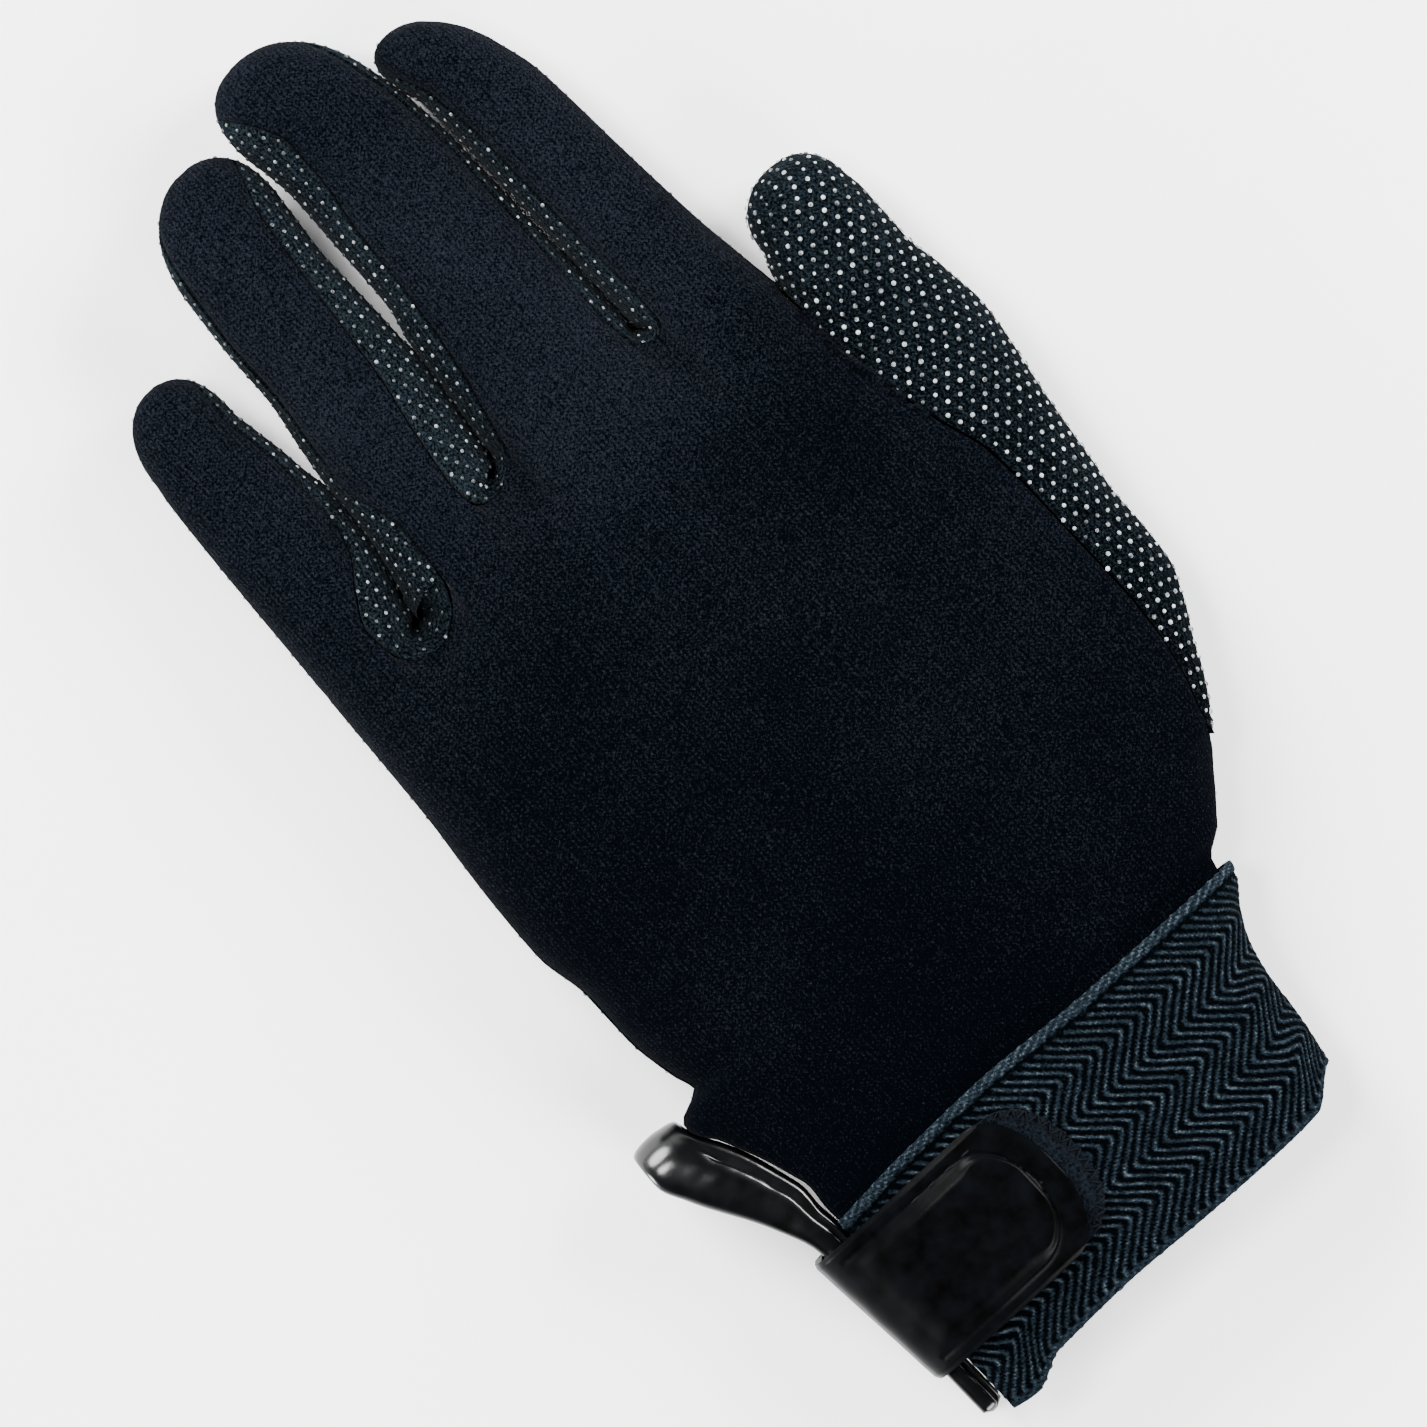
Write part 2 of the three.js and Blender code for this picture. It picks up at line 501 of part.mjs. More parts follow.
// Back panel (up) or palm panel: palm rows, then four fingers that share the top row with the round notches.
const LOW_ROWS = PALM.filter((r) => r.y < 0.82).map((r) => r.y * palmLength);
LOW_ROWS[0] = wristLine - cuffLap;
const HIGH_ROWS = [1 / 3, 2 / 3, 1];
const knuckleLine = 0.7 * palmLength; // the humps of the fingers fade out here
function handPanel(name, up, material) {
  const points = [], quads = [], fixed = new Map();
  const gap = seamGap / 2;
  const add = (p) => {
    p.z = Math.max(0, p.z); // the palm lies flat on the table
    return points.push(p) - 1;
  };
  const addSeam = (s, sink = gap) => {
    const id = add(s.p.clone().addScaledVector(s.across, -sink));
    fixed.set(id, s.n.clone());
    return id;
  };
  // Top row: fingers and notches from left to right.
  const top = [];
  FINGERS.forEach((f, k) => {
    const row = fingerRows(f)[0];
    const [aL, aR] = seamAngles(f, row, up);
    for (let i = 0; i <= fingerCols; i++) {
      const angle = lerp(aL, aR, i / fingerCols);
      if (i === 0 && k > 0) top.push({ ...fingerSeam(f, row, -1, up), seam: true, f: k });
      else if (i === fingerCols && k < 3) top.push({ ...fingerSeam(f, row, 1, up), seam: true, f: k });
      else top.push({ ...fingerPoint(f, row[0], row[1], angle), f: k });
    }
    if (k < 3) for (const st of crotchStations(k)) top.push({ ...(up ? st.up : st.down), seam: true, notch: true });
  });
  const cols = top.length - 1;
  const share = top.map((t) => {
    const e = palmEdges(t.p.y, up);
    return clamp((t.p.x - e.left) / (e.right - e.left), 0, 1);
  });
  share[0] = 0;
  share[cols] = 1;
  const rest = top.map((t, i) => t.p.clone().sub(palmPoint(t.p.y, share[i], up)));
  const even = top.map((t, i) => (1 - Math.cos((Math.PI * i) / cols)) / 2);
  const lastLow = LOW_ROWS[LOW_ROWS.length - 1];
  const grid = [];
  const edge = (y, f, side) => {
    const p = palmPoint(y, f, up);
    const e = palmEdges(y, up);
    if (side > 0 && e.seam) return addSeam({ ...e.seam, across: e.seam.across });
    const inVent = side < 0 && along(PALM, "y", "lift", y / palmLength) > 0.3;
    const sign = up ? 1 : -1;
    p.z += inVent ? 0 : sign * gap;
    const id = add(p);
    fixed.set(id, inVent ? new THREE.Vector3(-0.35, 0, sign).normalize() : new THREE.Vector3(side, 0, 0));
    return id;
  };
  for (const y of LOW_ROWS) {
    const near = smooth(0.35 * palmLength, lastLow, y);
    const w = smooth(knuckleLine, palmLength, y);
    grid.push(top.map((t, i) => {
      const f = lerp(lerp(even[i], i / cols, 0.45), share[i], near);
      if (i === 0) return edge(y, 0, -1);
      if (i === cols) return edge(y, 1, 1);
      return add(palmPoint(y, f, up).addScaledVector(rest[i], w));
    }));
  }
  for (const q of HIGH_ROWS.slice(0, -1)) {
    grid.push(top.map((t, i) => {
      const y = lerp(lastLow, t.p.y, q);
      if (i === 0) return edge(y, 0, -1);
      if (i === cols) return edge(y, 1, 1);
      const w = smooth(knuckleLine, palmLength, lerp(lastLow, palmLength, q));
      return add(palmPoint(y, share[i], up).addScaledVector(rest[i], w));
    }));
  }
  grid.push(top.map((t, i) => {
    if (i === 0 || i === cols) {
      const id = add(t.p.clone().add(new THREE.Vector3(0, 0, up ? gap : -gap)));
      fixed.set(id, new THREE.Vector3(i === 0 ? -1 : 1, 0, 0));
      return id;
    }
    return t.seam ? addSeam(t) : add(t.p.clone());
  }));
  const quad = (a, b, c, d) => quads.push(up ? [a, b, c, d] : [d, c, b, a]);
  for (let r = 0; r + 1 < grid.length; r++) {
    for (let i = 0; i < cols; i++) quad(grid[r][i], grid[r][i + 1], grid[r + 1][i + 1], grid[r + 1][i]);
  }
  const roots = grid[grid.length - 1];
  FINGERS.forEach((f, k) => {
    const first = k * (fingerCols + crotchCols);
    let below = roots.slice(first, first + fingerCols + 1);
    fingerRows(f).slice(1).forEach((row, r) => {
      const [aL, aR] = seamAngles(f, row, up);
      const ids = [];
      for (let i = 0; i <= fingerCols; i++) {
        const angle = lerp(aL, aR, i / fingerCols);
        const side = i === 0 ? -1 : i === fingerCols ? 1 : 0;
        if (side && r < gussetRows && !(side < 0 && k === 0) && !(side > 0 && k === 3)) {
          ids.push(addSeam(fingerSeam(f, row, side, up)));
        } else {
          const s = fingerPoint(f, row[0], row[1], angle);
          const id = add(s.p);
          if (side) {
            points[id].z += up ? gap : -gap;
            s.n.z = 0;
            fixed.set(id, s.n.normalize());
          }
          ids.push(id);
        }
      }
      for (let i = 0; i < fingerCols; i++) quad(below[i], below[i + 1], ids[i + 1], ids[i]);
      below = ids;
    });
    const tip = add(new THREE.Vector3(f.tip.x * fingerWidth, crotchLine + f.tip.y * fingerLength,
      seamHeight * 0.92 + (up ? gap : -gap)));
    fixed.set(tip, new THREE.Vector3(0, 1, 0));
    for (let i = 0; i < fingerCols; i++) quad(below[i], below[i + 1], tip, tip);
  });
  return sheet(name, points, sheetNormals(points, quads, fixed), quads, up ? jerseyWall : gripWall, material);
}

// Gusset between two fingers: down one side, round the notch and up the other side.
function gusset(name, k, material) {
  const [a, b] = [FINGERS[k], FINGERS[k + 1]];
  const [rowsA, rowsB] = [fingerRows(a), fingerRows(b)];
  const gap = seamGap / 2;
  const stations = [];
  const sideLine = (f, row, side) => {
    const [s, e] = [fingerSeam(f, row, side, true), fingerSeam(f, row, side, false)];
    const [uL, uR] = seamAngles(f, row, true);
    const [dL, dR] = seamAngles(f, row, false);
    const from = side > 0 ? uR : uL;
    const to = side > 0 ? dR : dL + 2 * Math.PI;
    const line = [];
    for (let j = 0; j <= gussetCols; j++) {
      if (j === 0) line.push({ p: s.p.clone().addScaledVector(s.across, gap), n: s.n });
      else if (j === gussetCols) line.push({ p: e.p.clone().addScaledVector(e.across, gap), n: e.n });
      else line.push(fingerPoint(f, row[0], row[1], lerp(from, to, j / gussetCols)));
    }
    return line;
  };
  for (let r = gussetRows; r >= 0; r--) stations.push(sideLine(a, rowsA[r], 1));
  const [lineA, lineB] = [sideLine(a, rowsA[0], 1), sideLine(b, rowsB[0], -1)];
  const bulge = (line, j) => {
    const chord = line[0].p.clone().lerp(line[gussetCols].p, j / gussetCols);
    const d = line[j].p.clone().sub(chord);
    return { out: Math.abs(d.x), z: d.z };
  };
  crotchStations(k).forEach((st, i) => {
    const th = (Math.PI * (i + 1)) / crotchCols;
    const k2 = (1 - Math.cos(th)) / 2;
    const [s, e] = [st.up.p.clone().addScaledVector(st.up.across, gap), st.down.p.clone().addScaledVector(st.down.across, gap)];
    const line = [];
    for (let j = 0; j <= gussetCols; j++) {
      const p = s.clone().lerp(e, j / gussetCols);
      const [ba, bb] = [bulge(lineA, j), bulge(lineB, j)];
      p.addScaledVector(st.into, lerp(ba.out, bb.out, k2) * 0.45);
      p.z += lerp(ba.z, bb.z, k2) * 0.45;
      const n = st.into.clone();
      line.push({ p, n: j === 0 ? st.up.n : j === gussetCols ? st.down.n : n });
    }
    stations.push(line);
  });
  for (let r = 0; r <= gussetRows; r++) stations.push(sideLine(b, rowsB[r], -1));
  const points = [], normals = [], quads = [];
  for (const line of stations) for (const { p, n } of line) { points.push(p); normals.push(n); }
  const w = gussetCols + 1;
  for (let r = 0; r + 1 < stations.length; r++) {
    for (let j = 0; j < gussetCols; j++) {
      const q = r * w + j;
      quads.push([q, q + 1, q + w + 1, q + w].reverse());
    }
  }
  return sheet(name, points, normals, quads, jerseyWall, material);
}

// Thumb: closed rings round its free part, open towards the hand below the crotch.
function thumbPiece(name, material) {
  const gap = seamGap / 2;
  const points = [], normals = [], quads = [];
  const add = (s) => { points.push(s.p); normals.push(s.n); return points.length - 1; };
  const open = LOW_ROWS.filter((y) => y > thumbEnd - 1e-6);
  const last = open[open.length - 1];
  const top = thumbCrotch;
  for (const q of [1 / 3, 2 / 3]) open.push(lerp(last, top, q));
  const rows = open.map((y) => {
    const [t, b] = [thumbSeam(y, true), thumbSeam(y, false)];
    const ids = [];
    for (let i = 0; i <= thumbCols; i++) {
      if (i === 0 || i === thumbCols) {
        const s = i ? b : t;
        ids.push(add({ p: s.p.clone().addScaledVector(s.across, gap), n: s.n }));
      } else ids.push(add(thumbPoint(y, lerp(t.angle, b.angle, i / thumbCols))));
    }
    return ids;
  });
  const capStart = (thumbTip.y - thumbTip.cap) * palmLength;
  const closed = [top + seamGap, lerp(top, capStart, 0.5)];
  for (const t of [0, 0.45, 0.72, 0.92]) closed.push(capStart + t * thumbTip.cap * palmLength);
  for (const y of closed) {
    const ids = [];
    for (let i = 0; i < thumbCols; i++) ids.push(add(thumbPoint(y, lerp(Math.PI, -Math.PI, i / thumbCols))));
    rows.push([...ids, ids[0]]);
  }
  for (let r = 0; r + 1 < rows.length; r++) {
    for (let i = 0; i < thumbCols; i++) quads.push([rows[r][i], rows[r][i + 1], rows[r + 1][i + 1], rows[r + 1][i]]);
  }
  const tip = add({
    p: new THREE.Vector3(thumbTip.x * palmWidth, thumbTip.y * palmLength, seamHeight), n: new THREE.Vector3(0, 1, 0),
  });
  const ring = rows[rows.length - 1];
  for (let i = 0; i < thumbCols; i++) quads.push([ring[i], ring[i + 1], tip, tip]);
  return sheet(name, points, normals, quads, gripWall, material);
}

// Elastic cuff: from the vent over the back, round the thumb side and back under the palm.
const cuffCols = 26;
const cuffRows = 5;
const foldCorner = 0.1; // rounded hem corner at the fold, share of cuffWidth
function cuffPoint(u, v, d) {
  const up = u <= 0.5;
  const across = up ? u * 2 : 2 - u * 2;
  const right = along(CUFF, "v", "right", v) * cuffGirthWidth - d;
  const f = (1 - Math.cos(across * Math.PI)) / 2;
  const x = lerp(ventX, right, f);
  const s = cuffSection(x, v, d, up);
  const lift = foldCorner * cuffWidth * smooth(0.9, 1, f) * v;
  const topY = along(CUFF_EDGE, "x", "top", f) * cuffWidth;
  const hemY = -cuffWidth - along(CUFF_EDGE, "x", "hem", f) * cuffWidth;
  return new THREE.Vector3(x, lerp(topY, hemY, v) + lift, across === 1 ? s.middle : s.z);
}
function cuff(name, material) {
  const outer = [], inner = [], quads = [];
  for (let r = 0; r <= cuffRows; r++) {
    for (let i = 0; i <= cuffCols; i++) {
      outer.push(cuffPoint(i / cuffCols, r / cuffRows, 0));
      inner.push(cuffPoint(i / cuffCols, r / cuffRows, cuffWall));
    }
  }
  const w = cuffCols + 1;
  for (let r = 0; r < cuffRows; r++) {
    for (let i = 0; i < cuffCols; i++) {
      const q = r * w + i;
      quads.push([q, q + w, q + w + 1, q + 1]);
    }
  }
  const normals = outer.map((p, i) => p.clone().sub(inner[i]).divideScalar(cuffWall));
  return sheet(name, outer, normals, quads, cuffWall, material);
}

// Strap: from its sewn end under the palm side, round the vent and over the back to its round end.
const strapTop = 0.07 * cuffWidth; // strap's upper edge below the cuff's top edge
const foldX = ventX - 8.3; // strap's outer fold
const strapMid = wristLine - strapTop - strapWidth / 2;
function strapPath(lift) {
  const v = (wristLine - strapMid) / cuffWidth;
  const z = (x, up) => cuffSection(x, v, 0, up).z;
  const end = foldX + strapReach;
  const half = strapWall / 2;
  const under = layerGap + half;
  const pts = [];
  for (const s of [1, 0.66, 0.33, 0.08]) {
    const x = ventX + s * strapTuck;
    pts.push([x, z(x, false) - under]);
  }
  const bend = foldX + half;
  const low = seamHeight - ventHeight / 2 - bindingWall / 2;
  const high = seamHeight + ventHeight / 2 + bindingWall / 2;
  pts.push([lerp(ventX, bend, 0.5), low * 0.36]);
  pts.push([lerp(ventX, bend, 0.93), low * 0.95]);
  pts.push([bend, lerp(low, high, 0.4)]);
  pts.push([bend, lerp(low, high, 0.8)]);
  pts.push([lerp(ventX, bend, 0.82), high + 1.6]);
  for (const s of [0.16, 0.3, 0.45, 0.6, 0.74, 0.86, 0.94, 1]) {
    const x = lerp(foldX, end, s);
    pts.push([x, z(Math.max(x, ventX), true) + lift + half]);
  }
  return new THREE.CatmullRomCurve3(pts.map(([x, zz]) => new THREE.Vector3(x, 0, zz)), false, "centripetal");
}
const onCuff = (x, y) => cuffSection(Math.max(x, ventX), (wristLine - y) / cuffWidth, 0, true).z;
const strapSteps = 34;
const strapRows = 4;
const roundEnd = 0.3; // length of the round end, share of strapWidth
function strapPiece(name, material) {
  const path = strapPath(layerGap + patchWall + layerGap);
  const pts = path.getPoints(strapSteps);
  const end = pts[strapSteps].x;
  const points = [], normals = [], quads = [];
  pts.forEach((p, i) => {
    const tangent = pts[Math.min(i + 1, strapSteps)].clone().sub(pts[Math.max(i - 1, 0)]).normalize();
    const n = new THREE.Vector3(-tangent.z, 0, tangent.x);
    const over = i > strapSteps / 2;
    const left = over ? clamp((p.x - (end - roundEnd * strapWidth)) / (roundEnd * strapWidth), 0, 0.985) : 0;
    const half = (strapWidth / 2) * (1 - left ** 2.2) ** (1 / 2.2);
    const lean = 0.075 * (smooth(foldX + 12, foldX, p.x));
    for (let r = 0; r <= strapRows; r++) {
      const y = strapMid + half * (1 - (2 * r) / strapRows);
      const shift = lean * (strapMid + strapWidth / 2 - y);
      const settle = over ? smooth(foldX + 4, foldX + 12, p.x) : 0;
      const z = p.z + settle * (onCuff(p.x, y) - onCuff(p.x, strapMid));
      points.push(new THREE.Vector3(p.x + shift, y, z).addScaledVector(n, strapWall / 2));
      normals.push(n);
    }
  });
  const w = strapRows + 1;
  for (let i = 0; i < strapSteps; i++) {
    for (let r = 0; r < strapRows; r++) {
      const q = i * w + r;
      quads.push([q, q + 1, q + w + 1, q + w]);
    }
  }
  return sheet(name, points, normals, quads, strapWall, material);
}

// Loop patch on the elastic, under the strap's end and a little past it.
const patchCols = 12;
const patchRows = 5;
function loopPatch(name, material) {
  const left = ventX + 2;
  const right = foldX + strapReach + patchMargin;
  const high = strapMid + strapWidth / 2 - 0.8;
  const low = strapMid - strapWidth / 2 + 0.6;
  const points = [], normals = [], quads = [];
  const at = (x, y) => cuffSection(x, (wristLine - y) / cuffWidth, 0, true).z + layerGap + patchWall;
  for (let i = 0; i <= patchCols; i++) {
    const x = lerp(left, right, Math.sin(((i / patchCols) * Math.PI) / 2));
    const t = clamp((x - (right - 10)) / 10, 0, 0.98);
    const half = ((high - low) / 2) * (1 - t ** 2.3) ** (1 / 2.3);
    for (let r = 0; r <= patchRows; r++) {
      const y = (high + low) / 2 + half * (1 - (2 * r) / patchRows);
      const z = at(x, y);
      const slope = (at(x + 0.5, y) - at(x - 0.5, y)) / 1;
      points.push(new THREE.Vector3(x, y, z));
      normals.push(new THREE.Vector3(-slope, 0, 1).normalize());
    }
  }
  const w = patchRows + 1;
  for (let i = 0; i < patchCols; i++) {
    for (let r = 0; r < patchRows; r++) {
      const q = i * w + r;
      quads.push([q, q + 1, q + w + 1, q + w]);
    }
  }
  return sheet(name, points, normals, quads, patchWall, material);
}

// Bound edge of the vent: a soft flat roll up the back's edge, over the top of the slit and down the palm's edge.
const bindingSides = 10;
function binding(name, material) {
  const half = ventHeight / 2;
  const turnY = 0.196 * palmLength; // the slit's round top starts here
  const hem = wristLine - cuffWidth + 0.4;
  const ys = [hem, -0.24, -0.16, -0.08, -0.01, 0.045, 0.09, 0.13, 0.165]
    .map((s, i) => (i ? s * palmLength : s));
  const stations = [];
  const at = (y, z, ty, tz) => stations.push({ y, z, ty, tz });
  const upperZ = (y) => seamHeight + half - 0.2 * smooth(0, -cuffWidth, y);
  for (const y of ys) at(y, upperZ(y), 1, 0);
  for (let i = 0; i <= 8; i++) {
    const a = (Math.PI * i) / 8;
    at(turnY + half * Math.sin(a), seamHeight + half * Math.cos(a), Math.cos(a), -Math.sin(a));
  }
  for (const y of [...ys].reverse()) at(y, 2 * seamHeight - upperZ(y), -1, 0);
  const points = [], index = [];
  stations.forEach(({ y, z, ty, tz }, i) => {
    const x = along(VENT, "y", "x", y / palmLength) * palmWidth;
    const w = along(VENT, "y", "w", y / palmLength) * bindingWidth;
    const normal = new THREE.Vector3(0, -tz, ty);
    const ends = i === 0 || i === stations.length - 1 ? 0.9 : 1;
    for (let k = 0; k < bindingSides; k++) {
      const a = (2 * Math.PI * k) / bindingSides;
      const p = new THREE.Vector3(x + (w / 2) * ends * sup(Math.cos(a), 0.75), y, z);
      points.push(p.addScaledVector(normal, (bindingWall / 2) * ends * sup(Math.sin(a), 0.8)));
    }
  });
  const n = stations.length;
  for (let i = 0; i + 1 < n; i++) {
    for (let k = 0; k < bindingSides; k++) {
      const [p, q] = [i * bindingSides + k, i * bindingSides + ((k + 1) % bindingSides)];
      index.push(p, p + bindingSides, q, q, p + bindingSides, q + bindingSides);
    }
  }
  for (let k = 1; k + 1 < bindingSides; k++) {
    index.push(0, k, k + 1);
    const e = (n - 1) * bindingSides;
    index.push(e, e + k + 1, e + k);
  }
  return solid(name, points, index, material);
}

const jersey = new THREE.MeshStandardMaterial({ color: 0x161d23, roughness: 0.95, metalness: 0 });
const grip = new THREE.MeshStandardMaterial({ color: 0x22282c, roughness: 0.8, metalness: 0 });
const elastic = new THREE.MeshStandardMaterial({ color: 0x1c2226, roughness: 0.9, metalness: 0 });
const loop = new THREE.MeshStandardMaterial({ color: 0x171b1f, roughness: 1, metalness: 0 });
const coated = new THREE.MeshStandardMaterial({ color: 0x0c0f12, roughness: 0.35, metalness: 0 });

const glove = new THREE.Group();
glove.add(
  handPanel("back_panel", true, jersey),
  handPanel("palm_panel", false, grip),
  thumbPiece("thumb", grip),
  gusset("fourchette_ring_little", 0, grip),
  gusset("fourchette_middle_ring", 1, grip),
  gusset("fourchette_index_middle", 2, grip),
  cuff("cuff_elastic", elastic),
  loopPatch("loop_patch", loop),
  strapPiece("strap", coated),
  binding("vent_binding", coated),
);

// The origin goes to the middle of the glove's plan, on the table.
const box = new THREE.Box3().setFromObject(glove);
glove.position.set(-(box.min.x + box.max.x) / 2, -(box.min.y + box.max.y) / 2, -box.min.z);

export default glove;
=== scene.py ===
"""Riding glove for the left hand, lying palm down: cloth, dots, elastic, strap and stage."""
import math

import bmesh
import bpy
import numpy as np
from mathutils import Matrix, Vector, noise
from mathutils.kdtree import KDTree


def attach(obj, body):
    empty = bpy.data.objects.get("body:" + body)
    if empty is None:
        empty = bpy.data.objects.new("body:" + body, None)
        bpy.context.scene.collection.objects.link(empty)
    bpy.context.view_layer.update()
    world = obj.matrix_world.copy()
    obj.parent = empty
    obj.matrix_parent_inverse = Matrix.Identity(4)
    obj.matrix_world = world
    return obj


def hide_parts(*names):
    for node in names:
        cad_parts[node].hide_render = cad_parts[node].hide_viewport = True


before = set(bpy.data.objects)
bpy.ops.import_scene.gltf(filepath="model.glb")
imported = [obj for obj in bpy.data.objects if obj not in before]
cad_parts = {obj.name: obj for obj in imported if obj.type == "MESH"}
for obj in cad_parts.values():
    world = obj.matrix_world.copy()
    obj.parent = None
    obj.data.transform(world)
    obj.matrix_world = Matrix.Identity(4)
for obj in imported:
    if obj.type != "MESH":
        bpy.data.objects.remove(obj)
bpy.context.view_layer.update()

bl_info = {
    "name": "Riding Glove",
    "version": (1, 0, 0),
    "blender": (4, 5, 0),
    "location": "View3D > Sidebar > Riding Glove",
    "description": "Builds a knitted riding glove with dotted grips, an elastic cuff and a strap",
    "category": "Object",
}

# The part's own sizes, millimetres, in the part's drawing: X to the thumb, Y to the fingertips, Z up.
SHIFT = np.array([-9.8889, -84.6193, 0.0])  # from the drawing to the frame
PALM_WIDTH, PALM_LENGTH, PALM_HEIGHT, SEAM_HEIGHT = 115.0, 131.5, 27.0, 10.0
FINGER_WIDTH, FINGER_HEIGHT, FINGER_LENGTH = 23.0, 18.5, 82.0
THUMB_WIDTH, THUMB_HEIGHT = 22.0, 20.5
SEAM_GAP = 0.36
CUFF_WIDTH, CUFF_GIRTH, CUFF_HEIGHT, CUFF_WALL, CUFF_LAP = 42.0, 94.0, 25.0, 1.4, 7.0
LAYER_GAP, FACET_GAP = 0.4, 0.25
STRAP_WIDTH, STRAP_WALL, STRAP_REACH, STRAP_TUCK = 28.6, 1.5, 42.0, 22.0
PATCH_WALL, PATCH_MARGIN = 0.8, 4.6
BINDING_WIDTH, BINDING_WALL, VENT_HEIGHT = 9.6, 2.8, 9.4
ROUNDNESS, FLATNESS = 2.3, 0.6
SIDE_INSET, GUSSET_END = 0.14, 0.7
VENT_X = -0.381 * PALM_WIDTH
FOLD_X = VENT_X - 8.3
CUFF_LEFT = VENT_X - 0.05 * CUFF_GIRTH
CUFF_RAISE = STRAP_WALL + LAYER_GAP + 0.1
STRAP_MID = -0.07 * CUFF_WIDTH - STRAP_WIDTH / 2
KNUCKLE_LINE = 0.7 * PALM_LENGTH


def columns(keys, *rows):
    """A table of rows as named columns."""
    return {key: np.array(values, float) for key, values in zip(keys.split(), zip(*rows))}


PALM = columns(
    "y left right palm top lift",
    (-0.053, -0.38, 0.36, 0.36, 0.85, 1), (-0.008, -0.381, 0.39, 0.39, 0.86, 1),
    (0.038, -0.385, 0.434, 0.434, 0.88, 1), (0.084, -0.399, 0.478, 0.478, 0.9, 1),
    (0.129, -0.416, 0.518, 0.512, 0.92, 1), (0.168, -0.435, 0.53, 0.48, 0.935, 1),
    (0.196, -0.448, 0.542, 0.455, 0.945, 1), (0.217, -0.453, 0.548, 0.44, 0.95, 0.64),
    (0.228, -0.45, 0.551, 0.432, 0.953, 0.02), (0.25, -0.403, 0.556, 0.422, 0.958, 0),
    (0.281, -0.413, 0.561, 0.415, 0.965, 0), (0.357, -0.425, 0.565, 0.408, 0.98, 0),
    (0.433, -0.424, 0.565, 0.408, 0.99, 0), (0.51, -0.437, 0.565, 0.424, 1, 0),
    (0.586, -0.433, 0.561, 0.438, 1, 0), (0.662, -0.425, 0.537, 0.456, 0.985, 0),
    (0.738, -0.415, 0.517, 0.477, 0.96, 0), (0.814, -0.409, 0.503, 0.496, 0.925, 0),
    (0.941, -0.4, 0.504, 0.504, 0.85, 0), (1, -0.395, 0.497, 0.497, 0.8, 0),
)
SIDES = "y left right seam_l seam_r"
FINGERS = [
    {"root": (-0.092, -0.092), "tip": (-1.404, 0.627), "cap": 0.157, "top": 0.94, "sides": columns(
        SIDES, (-0.19, -2.01, -1.2, -2.01, -1.37), (-0.055, -1.99, -1.13, -1.99, -1.435),
        (0.03, -1.97, -1.015, -1.97, -1.283), (0.091, -1.957, -0.963, -1.957, -1.13),
        (0.189, -1.935, -0.946, -1.935, -1.052), (0.311, -1.904, -0.97, -1.904, -1.052),
        (0.433, -1.865, -1.03, -1.865, -1.104), (0.47, -1.843, -1.052, -1.843, -1.122))},
    {"root": (-0.092, 0.055), "tip": (-0.117, 0.909), "cap": 0.195, "top": 1, "sides": columns(
        SIDES, (-0.092, -1.065, 0.06, -0.783, -0.21), (0.03, -0.985, 0.096, -0.761, -0.204),
        (0.091, -0.943, 0.126, -0.778, -0.217), (0.189, -0.927, 0.178, -0.852, -0.174),
        (0.311, -0.852, 0.226, -0.809, -0.087), (0.433, -0.804, 0.235, -0.752, -0.03),
        (0.555, -0.791, 0.235, -0.739, 0.022), (0.714, -0.739, 0.287, -0.678, 0.096))},
    {"root": (0.055, 0.043), "tip": (0.726, 0.998), "cap": 0.199, "top": 1.02, "sides": columns(
        SIDES, (0.03, 0.117, 1.53, 0.217, 1.435), (0.091, 0.145, 1.53, 0.27, 1.417),
        (0.189, 0.197, 1.53, 0.357, 1.435), (0.311, 0.25, 1.53, 0.435, 1.448),
        (0.433, 0.322, 1.53, 0.487, 1.457), (0.555, 0.339, 1.53, 0.522, 1.47),
        (0.714, 0.361, 1.491, 0.6, 1.435), (0.799, 0.33, 1.43, 0.609, 1.374))},
    {"root": (0.043, -0.095), "tip": (1.674, 0.827), "cap": 0.15, "top": 0.98, "sides": columns(
        SIDES, (-0.095, 1.58, 2.522, 1.7, 2.522), (0.03, 1.549, 2.465, 1.687, 2.465),
        (0.091, 1.549, 2.439, 1.696, 2.439), (0.189, 1.549, 2.413, 1.687, 2.413),
        (0.311, 1.549, 2.387, 1.674, 2.387), (0.555, 1.551, 2.339, 1.657, 2.339),
        (0.677, 1.535, 2.235, 1.61, 2.235))},
]
CROTCHES = [(0.105, 0.02, 0.16), (0.055, 0.02, 0.12), (0.05, 0.0, 0.06)]
THUMB = columns(
    "y inner outer top",
    (0.129, 0.43, 0.5235, 0.78), (0.168, 0.4, 0.556, 0.84), (0.196, 0.39, 0.574, 0.87),
    (0.228, 0.385, 0.593, 0.89), (0.281, 0.38, 0.627, 0.92), (0.32, 0.38, 0.646, 0.94),
    (0.357, 0.382, 0.652, 0.955), (0.433, 0.39, 0.657, 0.97), (0.51, 0.4, 0.67, 1),
    (0.586, 0.415, 0.682, 1), (0.662, 0.432, 0.698, 0.99), (0.738, 0.455, 0.708, 0.97),
    (0.814, 0.478, 0.7, 0.95), (0.86, 0.49, 0.694, 0.94), (0.9, 0.5, 0.6945, 0.93),
    (0.941, 0.5085, 0.695, 0.92), (0.99, 0.53, 0.688, 0.9),
)
THUMB_TIP_X, THUMB_TIP_Y, THUMB_CAP = 0.609, 1.049, 0.075
THUMB_END, THUMB_CROTCH = 0.129 * PALM_LENGTH, 0.941 * PALM_LENGTH
